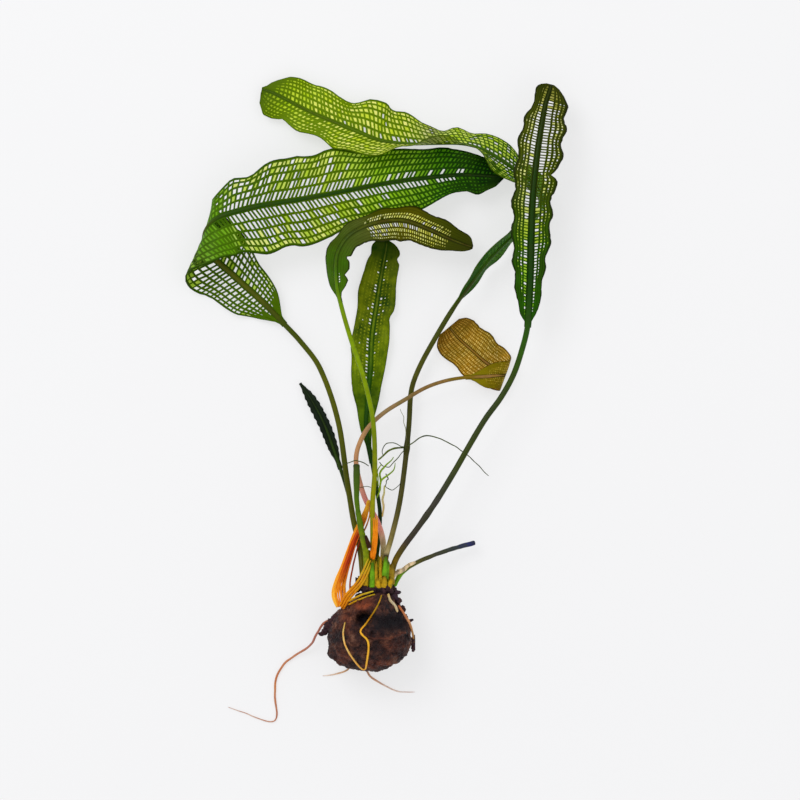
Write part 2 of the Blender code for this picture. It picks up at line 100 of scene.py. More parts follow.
def addWall(piece, thickness):  # a sheet gets its thickness in millimetres, half on each side
    makeActive(piece)
    wall = piece.modifiers.new("thickness", 'SOLIDIFY')
    wall.thickness = thickness * mm
    wall.offset = 0.0
    bpy.ops.object.modifier_apply(modifier=wall.name)


def bell(distance, reach):  # 1 in the middle, and hardly anything at twice its reach
    return math.exp(-(distance / reach) ** 2)


def between(table, place, column=1):  # straight steps between the rows of a small table
    if place <= table[0][0]:
        return table[0][column]
    for first, second in zip(table, table[1:]):
        if place <= second[0]:
            share = (place - first[0]) / (second[0] - first[0])
            return first[column] + (second[column] - first[column]) * share
    return table[-1][column]


# Smooth lines through rows of numbers.
def makeLine(rows):
    marks = [0.0]
    for first, second in zip(rows, rows[1:]):
        marks.append(marks[-1] + (Vector(second[:3]) - Vector(first[:3])).length)
    return {"rows": rows, "marks": marks, "length": marks[-1]}


def lineSlope(line, index, column):
    before, after = max(index - 1, 0), min(index + 1, len(line["rows"]) - 1)
    rise = line["rows"][after][column] - line["rows"][before][column]
    return rise / (line["marks"][after] - line["marks"][before])


def lineAt(line, mark):
    rows, marks = line["rows"], line["marks"]
    index = 0
    while index < len(rows) - 2 and mark > marks[index + 1]:
        index += 1
    span = marks[index + 1] - marks[index]
    t = min(max((mark - marks[index]) / span, 0.0), 1.0)
    rise, leave, arrive = t * t * (3 - 2 * t), t * (1 - t) ** 2 * span, -t * t * (1 - t) * span
    values = []
    for column in range(len(rows[0])):
        start, end = rows[index][column], rows[index + 1][column]
        bend = leave * lineSlope(line, index, column) + arrive * lineSlope(line, index + 1, column)
        values.append(start + (end - start) * rise + bend)
    return values


def lineHeading(line, mark):
    step = min(0.5, line["length"] / 50)
    ahead = Vector(lineAt(line, min(mark + step, line["length"]))[:3])
    return (ahead - Vector(lineAt(line, max(mark - step, 0))[:3])).normalized()


# Shader nodes: a setting is a plain value, or another node's output, which is linked.
def feed(tree, socket, value):
    if isinstance(value, bpy.types.NodeSocket):
        tree.links.new(value, socket)
    else:
        socket.default_value = value


def addNode(tree, kind, **settings):
    node = tree.nodes.new(kind)
    for key, value in settings.items():
        if hasattr(node, key):
            setattr(node, key, value)
        else:
            feed(tree, node.inputs[key.replace("_", " ")], value)
    return node


def addMath(tree, operation, *values):
    node = addNode(tree, 'ShaderNodeMath', operation=operation)
    for socket, value in zip(node.inputs, values):
        feed(tree, socket, value)
    return node.outputs[0]


def addMix(tree, share, first, second, blend='MIX'):
    node = addNode(tree, 'ShaderNodeMix', data_type='RGBA', blend_type=blend)
    for index, value in ((0, share), (6, first), (7, second)):
        feed(tree, node.inputs[index], value)
    return node.outputs[2]


def addNoise(tree, **settings):  # clouds fixed to the piece
    place = addNode(tree, 'ShaderNodeTexCoord').outputs["Object"]
    return addNode(tree, 'ShaderNodeTexNoise', Vector=place, **settings).outputs[0]


def addRange(tree, value, low, high):
    return addNode(tree, 'ShaderNodeMapRange', Value=value, From_Min=low, From_Max=high).outputs[0]


def addRamp(tree, place, stops):
    ramp = addNode(tree, 'ShaderNodeValToRGB')
    feed(tree, ramp.inputs[0], place)
    while len(ramp.color_ramp.elements) < len(stops):
        ramp.color_ramp.elements.new(0.5)
    for element, (where, *colour) in zip(ramp.color_ramp.elements, stops):
        element.position = where
        element.color = paint(*colour)
    return ramp.outputs[0]


def addGroup(tree, group, **settings):
    node = tree.nodes.new('ShaderNodeGroup')
    node.node_tree = group
    for key, value in settings.items():
        feed(tree, node.inputs[key.replace("_", " ")], value)
    return node.outputs


def newGroup(name, inputs, outputs):
    group = bpy.data.node_groups.new(name, 'ShaderNodeTree')
    for labels, way in ((inputs, 'INPUT'), (outputs, 'OUTPUT')):
        for label in labels:
            kind = 'NodeSocketColor' if label in ("Color", "Spots") else 'NodeSocketFloat'
            group.interface.new_socket(label, in_out=way, socket_type=kind)
    return group, group.nodes.new('NodeGroupInput').outputs, group.nodes.new('NodeGroupOutput').inputs

skinDepth, barkDepth = 0.0002, 0.0007  # how deep the grain is, in metres
filmSpots, filmThrough = 0.3, 0.35  # films have fewer spots than the net, and all let as much light through
bladeShine, bladeGrain = 0.06, 0.25
ribShade = (0.22, 0.02)  # where the shade beside the midrib starts and where it is full


def makeMottle():  # uneven living colour, and a grain six times finer for height and roughness
    tree, given, result = newGroup("mottle", ("Color", "Spots", "Amount", "Scale", "Roughness"),
                                   ("Color", "Roughness", "Height"))
    cloud = addNoise(tree, Scale=given["Scale"], Detail=4.0, Roughness=0.6)
    grain = addNoise(tree, Scale=addMath(tree, 'MULTIPLY', given["Scale"], 6.0), Detail=3.0)
    share = addMath(tree, 'MULTIPLY', addRange(tree, cloud, 0.4, 0.66), given["Amount"])
    feed(tree, result["Color"], addMix(tree, share, given["Color"], given["Spots"]))
    feed(tree, result["Roughness"], addMath(tree, 'MULTIPLY_ADD', grain, 0.25, given["Roughness"]))
    feed(tree, result["Height"], grain)
    return tree


def makeBands():  # where a point lies across the blade: 1 at the margin, 1 beside the midrib
    tree, given, result = newGroup("blade bands", ("Across", "Margin Width"), ("Margin", "Rib"))
    off = addMath(tree, 'SUBTRACT', given["Across"], 0.5)
    reach = addMath(tree, 'MULTIPLY', addMath(tree, 'ABSOLUTE', off), 2.0)
    start = addMath(tree, 'SUBTRACT', 1.0, given["Margin Width"])
    feed(tree, result["Margin"], addRange(tree, reach, start, 1.0))
    feed(tree, result["Rib"], addRange(tree, reach, *ribShade))
    return tree


mottle = makeMottle()
bands = makeBands()


def newMaterial(name):
    material = bpy.data.materials.new(name)
    material.use_nodes = True
    return material, material.node_tree, material.node_tree.nodes["Principled BSDF"]


def uvPlace(tree):  # along the piece from 0 at its start to 1 at its tip, and across it
    place = addNode(tree, 'ShaderNodeUVMap', uv_map="UVMap").outputs[0]
    return addNode(tree, 'ShaderNodeSeparateXYZ', Vector=place).outputs


def wearSkin(tree, shader, skin, shine, strength, depth):  # the mottle's colour, roughness and grain
    bump = addNode(tree, 'ShaderNodeBump', Strength=strength, Distance=depth, Height=skin["Height"])
    feed(tree, shader.inputs["Base Color"], skin["Color"])
    feed(tree, shader.inputs["Roughness"], skin["Roughness"])
    feed(tree, shader.inputs["Normal"], bump.outputs[0])
    shader.inputs["Specular IOR Level"].default_value = shine


def addThrough(tree, shader, colour, through):  # light that passes through a thin piece
    glow = addNode(tree, 'ShaderNodeBsdfTranslucent', Color=colour).outputs[0]
    both = addNode(tree, 'ShaderNodeMixShader')
    for socket, value in zip(both.inputs, (through, shader.outputs[0], glow)):
        feed(tree, socket, value)
    feed(tree, tree.nodes["Material Output"].inputs["Surface"], both.outputs[0])


def skinMaterial(name, stops, spots, amount=0.5, scale=260.0, roughness=0.3,
                 through=0.0, bump=0.3, shine=0.1):
    material, tree, shader = newMaterial(name)
    colour = addRamp(tree, uvPlace(tree)[0], stops)
    skin = addGroup(tree, mottle, Color=colour, Spots=paint(*spots), Amount=amount, Scale=scale,
                    Roughness=roughness)
    wearSkin(tree, shader, skin, shine, bump, skinDepth)
    if through:
        addThrough(tree, shader, skin["Color"], through)
    return material


# A blade also has a margin colour. Its net is darker beside the midrib, its films vary from cell to cell.
def bladeMaterial(name, stops, look, film):
    material, tree, shader = newMaterial(name)
    place = uvPlace(tree)
    band = addGroup(tree, bands, Across=place[1], Margin_Width=look["marginWidth"])
    nearRib = (1, 1, 1, 1) if film else paint(*look["nearRib"])
    shade = addNode(tree, 'ShaderNodeAttribute', attribute_name="shade").outputs["Fac"]
    colour = addMix(tree, band["Rib"], addRamp(tree, place[0], stops), nearRib, 'MULTIPLY')
    colour = addMix(tree, shade, colour, paint(*look["filmDeep" if film else "strip"]), 'MULTIPLY')
    colour = addMix(tree, band["Margin"], colour, paint(*look["margin"]))
    skin = addGroup(tree, mottle, Color=colour, Spots=paint(*look["spots"]), Scale=look.get("cloud", 190.0),
                    Amount=look["spotAmount"] * (filmSpots if film else 1), Roughness=look["roughness"])
    wearSkin(tree, shader, skin, bladeShine, bladeGrain, skinDepth)
    addThrough(tree, shader, skin["Color"], filmThrough if film else look["through"])
    return material


# Tubes.
# A grid wrapped round a row of rings: each ring is a middle and two half axes.
def wrapGrid(name, rings, sides):
    steps = len(rings) - 1
    piece = newGrid(steps, sides)
    piece.name = name
    spots = {}
    for vert in piece.data.vertices:
        station, side = gridPlace(vert, steps, sides)
        middle, across, up = rings[station]
        turn = math.tau * side / sides
        vert.co = (middle + across * math.cos(turn) + up * math.sin(turn)) * mm
        spots[vert.index] = (station / steps, side / sides)
    setUv(piece.data, spots)
    makeActive(piece)
    bpy.ops.object.mode_set(mode='EDIT')
    bpy.ops.mesh.select_all(action='SELECT')
    bpy.ops.mesh.remove_doubles(threshold=sameSpot)
    bpy.ops.mesh.fill_holes(sides=sides)
    bpy.ops.mesh.select_all(action='SELECT')
    bpy.ops.mesh.normals_make_consistent(inside=False)
    bpy.ops.object.mode_set(mode='OBJECT')
    return piece


def smoothPiece(piece, levels=1):
    makeActive(piece)
    if levels:
        smooth = piece.modifiers.new("round", 'SUBSURF')
        smooth.levels = smooth.render_levels = levels
        bpy.ops.object.modifier_apply(modifier=smooth.name)
    bpy.ops.object.shade_smooth()


def joinPieces(pieces, name):
    deselectAll()
    for piece in pieces:
        piece.select_set(True)
    bpy.context.view_layer.objects.active = pieces[0]
    if len(pieces) > 1:
        bpy.ops.object.join()
    pieces[0].name = name
    pieces[0].data.name = name
    return pieces[0]


finest = 0.04  # the least radius of a thread's end, in millimetres


# A root, thread or stalk along a smooth route of x, y, z, radius in millimetres.
def routeTube(name, rows, seed, sides=7, step=1.0, wobble=0.15, flat=1.0):
    line = makeLine(rows)
    count = max(4, round(line["length"] / step))
    rings = []
    up = Vector((0, 0, 1))
    for index in range(count + 1):
        mark = line["length"] * index / count
        x, y, z, radius = lineAt(line, mark)
        forward = lineHeading(line, mark)
        across = forward.cross(up).normalized()
        lift = across.cross(forward).normalized()
        drift = [noise.noise((mark * 0.35, seed, depth)) for depth in (1.5, 7.5)]
        shift = Vector((*drift, 0)) * wobble
        size = max(radius, finest) * (1 + 0.25 * noise.noise((mark * 0.6, seed, 4.0)))
        rings.append((Vector((x, y, z)) + shift, across * size, lift * size * flat))
    return wrapGrid(name, rings, sides)


def finishPiece(piece, material, node=None, levels=1):
    smoothPiece(piece, levels)
    piece.data.materials.append(material)
    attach(piece, "root")
    if node:
        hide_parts(node)


# Leaves, measured in millimetres. Shares run from 0 at the midrib to 1 at the margin, or from foot to tip.
ribEdge = 0.866  # where a blade leaves its midrib, as a share of the rib's radius
leastSpan = 0.3  # and the least that it has beside the rib
lowest = 0.16  # how near a blade comes to the table
bladeWall = 0.26  # how thick a blade is
leastWindow = 0.07  # how far the middle of the smallest window is from its veins
veinStep, stepsPerMm = 0.04, 25  # the widths of the veins go in these steps
windowMark = 100  # the number of a window's face, above the steps of all veins
ringStep = 2.2  # from ring to ring of a stalk
knotReach = 0.9  # how far a knot of a stalk swells on each side
stalkSides, stalkFlat, ribFlat = 9, 0.92, 0.8  # the sides of a stalk, and how high it is for its width
fullRipple = 8  # a half of a blade that is at least this wide ripples in full
rippleDrift = 2.2  # how unevenly the ripples follow each other
slantGrows, slantFades = 7, 8  # how soon the veins slant after the foot, and stop before the tip
ringStray, pointStray, rowStray = 0.12, 0.09, 0.004  # how far the net strays, in cells or across
veinStray = (0.85, 1.15)  # the widths of the veins vary between these
patchShare = 0.2  # how much the open windows keep together in patches


def rollAxes(roll):  # the fold's direction, the way out of it, its radius and the line that it goes round
    along = Vector(roll["along"]).normalized()
    out = Vector((-along.y, along.x))
    radius = abs(roll["lineHeight"] - roll["sheetHeight"])
    return along, out, radius, Vector(roll["edge"]) - out * radius


def rollPoint(roll, point):  # the sheet turns over a level line and lies back on itself
    if not roll:
        return point
    along, out, radius, line = rollAxes(roll)
    offset = Vector((point.x, point.y)) - line
    past = offset.dot(out)
    if past <= 0:
        return point
    turn = min(past / radius, math.pi)
    lever = roll["lineHeight"] - point.z
    reach = abs(lever) * math.sin(turn) - max(past - math.pi * radius, 0)
    plan = line + along * offset.dot(along) + out * reach
    return Vector((plan.x, plan.y, roll["lineHeight"] - lever * math.cos(turn)))


def unrollRow(roll, row):  # where a row that is given as it lies was before the turn
    along, out, radius, line = rollAxes(roll)
    offset = Vector(row[:2]) - line
    plan = line + along * offset.dot(along) + out * (math.pi * radius - offset.dot(out))
    return (plan.x, plan.y, 2 * roll["lineHeight"] - row[2], row[3], row[4], -row[5], -row[6])


def prepareLeaf(leaf):
    blade = list(leaf["blade"]) + [unrollRow(leaf["roll"], row) for row in leaf.get("turned", ())]
    stalk = [(*place, 0.0, 0.0, *blade[0][5:7]) for place in leaf["stalk"]]
    leaf["line"] = makeLine(stalk + blade)
    leaf["start"] = leaf["line"]["marks"][len(stalk) - 1]
    leaf["bladeLength"] = leaf["line"]["length"] - leaf["start"]


def bladeFrame(leaf, mark):
    x, y, z, left, right, tiltLeft, tiltRight = lineAt(leaf["line"], mark)
    forward = lineHeading(leaf["line"], mark)
    level = Vector((forward.y, -forward.x, 0)).normalized()
    up = level.cross(forward)
    sides = {}
    for sign, tilt in ((-1, tiltLeft), (1, tiltRight)):
        sides[sign] = level * (sign * math.cos(math.radians(tilt))) + up * math.sin(math.radians(tilt))
    across = (sides[1] - sides[-1]).normalized()
    base, foot, tip = leaf["radii"]
    if mark < leaf["start"]:
        radius = base + (foot - base) * mark / leaf["start"]
    else:
        radius = foot + (tip - foot) * (mark - leaf["start"]) / leaf["bladeLength"]
    return Vector((x, y, z)), forward, across, sides, {-1: left, 1: right}, radius


def bladePoint(leaf, mark, share):
    middle, forward, across, sides, widths, radius = bladeFrame(leaf, mark)
    sign = 1 if share > 0 else -1
    size, length, shift = leaf["ripple"]
    uneven = noise.noise((mark * 0.06, sign * 5.0, leaf["seed"])) * rippleDrift
    wave = math.sin(math.tau * mark / length + shift + sign + uneven)
    part, width = abs(share), widths[sign]
    place = (mark - leaf["start"]) / leaf["bladeLength"]
    outline = 1 + leaf.get("push", 0.05) * wave * part
    outline += leaf.get("tooth", 0.02) * noise.noise((mark * 0.8, sign * 2.0, leaf["seed"])) * part ** 3
    for side, where, depth, reach in leaf.get("notches", ()):
        if side == sign:
            outline -= depth * part * bell(place - where, reach)
    ruffle = noise.noise((mark * 0.16, sign * 3.0, leaf["seed"])) * leaf.get("ruffle", 0.5)
    lift = (size * wave + ruffle) * part ** 2 * min(width / fullRipple, 1)
    span = max(width - ribEdge * radius, leastSpan)
    spot = middle + across * (sign * ribEdge * radius) + sides[sign] * span * part * outline
    return spot + sides[sign].cross(forward) * sign * lift


def layBlade(leaf):
    shares = [0.0] + [share for row in leaf["rows"] for share in row] + [1.0]
    columns = [-share for share in reversed(shares)] + shares  # the two zeros are the midrib's edges
    steps, wide = leaf["columns"], len(columns) - 1
    piece = newGrid(steps, wide)
    luck = random.Random(leaf["seed"])
    pitch = leaf["bladeLength"] / steps
    stations = [pitch * (k + (luck.uniform(-ringStray, ringStray) if 0 < k < steps else 0))
                for k in range(steps + 1)]
    spots = {}
    for vert in piece.data.vertices:
        station, column = gridPlace(vert, steps, wide)
        share = columns[column]
        sign = -1 if column < len(shares) else 1
        along = stations[station]
        place = along / leaf["bladeLength"]
        taper = min(1.0, place * slantGrows, (1 - place) * slantFades)
        width = lineAt(leaf["line"], leaf["start"] + along)[3 if sign < 0 else 4]
        mark = leaf["start"] + along
        if 0 < station < steps:
            mark += between(leaf["slant"], place, 1 if sign < 0 else 2) * width * abs(share) * taper
            mark += luck.uniform(-pointStray, pointStray) * pitch
            if 0 < abs(share) < 1:
                share += luck.uniform(-rowStray, rowStray)
        mark = min(max(mark, leaf["start"]), leaf["line"]["length"])
        share = share or sign * 0.0001  # each edge of the midrib keeps to its own side
        point = rollPoint(leaf.get("roll"), bladePoint(leaf, mark, share))
        point.z = max(point.z, lowest)
        vert.co = point * mm
        spots[vert.index] = ((mark - leaf["start"]) / leaf["bladeLength"], 0.5 + 0.5 * share)
    setUv(piece.data, spots)
    return piece


def cellPlace(mesh, face):  # where a cell lies: along the blade from 0 to 1, across it from -1 to 1
    spots = [mesh.uv_layers["UVMap"].data[index].uv for index in face.loop_indices]
    return sum(spot[0] for spot in spots) / len(spots), sum(spot[1] for spot in spots) / len(spots) * 2 - 1


def cellRoom(mesh, face):  # the shortest way from a cell's middle to its sides, in millimetres
    points = [mesh.vertices[index].co for index in face.vertices]
    middle = sum(points, Vector()) / len(points)
    sides = [(start, end - start) for start, end in zip(points, points[1:] + points[:1])]
    return min((middle - start).cross(side).length / max(side.length, 0.00001) for start, side in sides) / mm


def rowOf(leaf, across):  # the row of windows at a place across the blade, or -1 on a vein that runs along it
    for index, (inner, outer) in enumerate(leaf["rows"]):
        if inner < abs(across) < outer:
            return index
    return -1


def chooseWindows(leaf, mesh):  # each cell gets the width of its veins in steps, or 0 where it stays solid
    luck = random.Random(leaf["seed"] + 50)
    for face in mesh.polygons:
        place, across = cellPlace(mesh, face)
        row = rowOf(leaf, across)
        plain = any(side * across > share for side, share in leaf.get("plain", ()))
        if row >= 0 and not plain:
            vein = between(leaf["vein"], place) * leaf["rowVein"][row] * luck.uniform(*veinStray)
            if cellRoom(mesh, face) > vein + leastWindow:
                face.material_index = max(1, round(vein * stepsPerMm))


def cutWindows(leaf, piece):
    mesh = piece.data
    luck = random.Random(leaf["seed"] + 90)
    veins = sorted({face.material_index for face in mesh.polygons} - {0})
    for vein in veins:
        makeActive(piece)
        bpy.ops.object.mode_set(mode='EDIT')
        bpy.ops.mesh.select_all(action='DESELECT')
        bpy.ops.object.mode_set(mode='OBJECT')
        for face in mesh.polygons:
            face.select = face.material_index == vein
        bpy.ops.object.mode_set(mode='EDIT')
        bpy.ops.mesh.inset(thickness=vein * veinStep * mm, use_individual=True)
        bpy.ops.object.mode_set(mode='OBJECT')
        for face in mesh.polygons:
            if face.select:
                face.material_index = windowMark
            elif face.material_index == vein:
                face.material_index = 0
    shade = mesh.attributes.new("shade", 'FLOAT', 'FACE')
    for face in mesh.polygons:
        face.select = False
        place, across = cellPlace(mesh, face)
        row = rowOf(leaf, across)
        if face.material_index != windowMark:
            shade.data[face.index].value = 1.0 if row < 0 else 0.0
            continue
        chance = between(leaf["openNear" if row == 0 else "openFar"], place, 1 if across < 0 else 2)
        chance *= leaf["rowOpen"][row]
        patch = 0.5 + 0.9 * noise.noise((place * 14, across * 3, leaf["seed"]))
        face.material_index = 1
        face.select = luck.random() * (1 - patchShare) + patch * patchShare < chance
        shade.data[face.index].value = luck.random()
    makeActive(piece)
    bpy.ops.object.mode_set(mode='EDIT')
    bpy.ops.mesh.delete(type='FACE')
    bpy.ops.object.mode_set(mode='OBJECT')


def layStalk(leaf, name):  # the stalk runs on as the midrib, flatter and thinner to the tip
    line, start = leaf["line"], leaf["start"]
    count = round(line["length"] / ringStep)
    rings = []
    for index in range(count + 1):
        mark = line["length"] * index / count
        middle, forward, across, sides, widths, radius = bladeFrame(leaf, mark)
        up = across.cross(forward)
        size = radius * (1 + 0.05 * noise.noise((mark * 0.2, leaf["seed"], 0)))
        for where, swell in leaf.get("knots", ()):
            size += swell * bell(mark - where, knotReach)
        flat = stalkFlat if mark < start else ribFlat
        corner = [rollPoint(leaf.get("roll"), middle + across * size * a + up * size * flat * b)
                  for a, b in ((1, 0), (-1, 0), (0, 1), (0, -1))]
        centre = (corner[0] + corner[1]) / 2
        rings.append((centre, (corner[0] - corner[1]) / 2, (corner[2] - corner[3]) / 2))
    return wrapGrid(name, rings, stalkSides)


def buildLeaf(leaf):
    prepareLeaf(leaf)
    blade = layBlade(leaf)
    chooseWindows(leaf, blade.data)
    cutWindows(leaf, blade)
    look = leaf["look"]
    blade.data.materials.append(bladeMaterial(leaf["name"] + "Net", leaf["net"], look, False))
    blade.data.materials.append(bladeMaterial(leaf["name"] + "Film", leaf["film"], look, True))
    addWall(blade, bladeWall)
    smoothPiece(blade, 0)
    stalk = layStalk(leaf, leaf["name"] + "Stalk")
    rib = skinMaterial(leaf["name"] + "Rib", leaf["rib"], leaf["ribSpots"], through=0.15, roughness=0.22)
    stalk.data.materials.append(rib)
    smoothPiece(stalk)
    piece = joinPieces([blade, stalk], leaf["name"])
    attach(piece, "root")
    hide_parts(leaf["node"])
    print(leaf["name"], "made,", len(piece.data.polygons), "faces")


# What the numbers of a leaf are, left before right. Stalk: x, y, z. Blade, turned: x, y, z, widths, tilts.
# Radii: at the crown, the blade's foot, its tip. Ripple: size, length, shift. Rows of windows: from, to.
# Slant, openNear, openFar: place, left, right. Vein: place, width. Notches: side, place, depth, reach.
# Knots: millimetres from the crown, swell. Net, film, rib: place, colour.
foldedLeaf = {  # the broad bright leaf on the left, curled over on itself
    "name": "foldedLeaf", "node": "leaf_folded", "slot": "bright_leaf", "seed": 11,
    "stalk": ((-2.4, 17.8, 14.4), (-3.6, 30, 11), (-6.2, 41.5, 8), (-8.6, 56.5, 6.8), (-12, 78.5, 5.6),
              (-18.8, 98, 4.6), (-26, 107.8, 3.6), (-31.8, 114, 3)),
    "blade": ((-39.5, 122, 2.9, 7.5, 6.5, -8, 4), (-50.5, 132, 2.9, 12.5, 11, -8, 2),
              (-61, 142, 2.9, 14, 14, -6, 0)),
    "turned": ((-55.5, 154.1, 14.6, 15, 8.4, 0, 0), (-49, 156.1, 14.6, 16.6, 12.6, -2, -1),
               (-41, 158, 14.6, 17.5, 14.6, -4, -2), (-35, 159, 14.5, 17.3, 16.4, -6, -3),
               (-26, 160.4, 14.2, 17, 15.6, -8, -4), (-11, 163.2, 13.4, 14.5, 16, -10, -5),
               (4, 166.2, 12.4, 13.5, 12.6, -8, -5), (19, 168.4, 11, 11, 11.5, -6, -6),
               (34, 169.8, 9.4, 6.6, 9.6, -5, -8), (42, 169.6, 8.3, 5.2, 7.2, -5, -8),
               (47, 169.3, 7.7, 4, 5, -3, -5), (50, 169, 7.4, 0.6, 0.6, 0, 0)),
    "roll": {"edge": (-61.9, 147.8), "along": (0.31, 0.95), "sheetHeight": 2.9, "lineHeight": 8.7},
    "radii": (1.2, 1.05, 0.35), "ripple": (0.9, 19, 0), "columns": 108,
    "rows": ((0.012, 0.245), (0.255, 0.455), (0.465, 0.66), (0.67, 0.82), (0.83, 0.95)),
    "rowVein": (1, 1.05, 1.05, 0.95, 0.8),
    "notches": ((1, 0.43, 0.2, 0.03), (-1, 0.885, 0.14, 0.03), (-1, 0.945, -0.4, 0.02)),
    "slant": ((0.34, 0.3, 0.3), (0.42, 0.45, 0.55), (0.75, 0.5, 0.65), (1, 0.6, 0.8)),
    "vein": ((0, 0.35), (0.18, 0.36), (0.24, 0.38), (0.55, 0.38), (0.75, 0.34), (1, 0.36)),
    "openNear": ((0, 1, 1), (0.18, 1, 0.7), (0.22, 0.6, 0.1), (0.34, 0.1, 0.2), (0.37, 1, 1),
                 (0.56, 1, 0.9), (0.66, 1, 0.5), (0.8, 0.9, 0.6), (0.88, 0.4, 0.3), (0.94, 0, 0.1),
                 (1, 0, 0)),
    "openFar": ((0, 1.2, 1.2), (0.18, 1.2, 1), (0.22, 0.6, 0.05), (0.3, 0.05, 0.05), (0.355, 0.28, 0.5),
                (0.39, 0.85, 0.8), (0.52, 0.6, 0.7), (0.6, 0.4, 0.35), (0.68, 0.3, 0.1), (0.78, 0.05, 0),
                (1, 0, 0)),
    "rowOpen": (1, 1, 0.95, 0.7, 0.5),
    "net": ((0, 90, 124, 0), (0.2, 84, 118, 0), (0.26, 76, 104, 22), (0.33, 92, 138, 8), (0.4, 80, 118, 0),
            (0.6, 106, 136, 0), (0.74, 74, 122, 0), (0.86, 26, 78, 0), (1, 8, 38, 4)),
    # near-white film stops are painted light, for the lit table seen through open windows; the greener stops
    # are the membranes' own colour
    "film": ((0, 250, 255, 190), (0.2, 220, 240, 100), (0.28, 130, 184, 50), (0.36, 140, 196, 40),
             (0.4, 244, 250, 150), (0.52, 250, 252, 160), (0.64, 244, 252, 130), (0.74, 196, 236, 70),
             (0.86, 100, 170, 20), (1, 16, 74, 6)),
    "rib": ((0, 110, 100, 10), (0.06, 92, 92, 8), (0.16, 76, 80, 8), (0.28, 92, 96, 8), (0.38, 64, 78, 2),
            (0.42, 84, 92, 12), (0.54, 104, 108, 20), (0.6, 40, 76, 0), (0.8, 30, 68, 0), (1, 6, 40, 4)),
    "ribSpots": (60, 72, 10),
    "look": {"margin": (46, 74, 0), "marginWidth": 0.035, "nearRib": (215, 225, 200), "spots": (64, 108, 0),
             "spotAmount": 0.35, "roughness": 0.3, "through": 0.4, "strip": (196, 212, 170),
             "filmDeep": (205, 230, 110)},
}

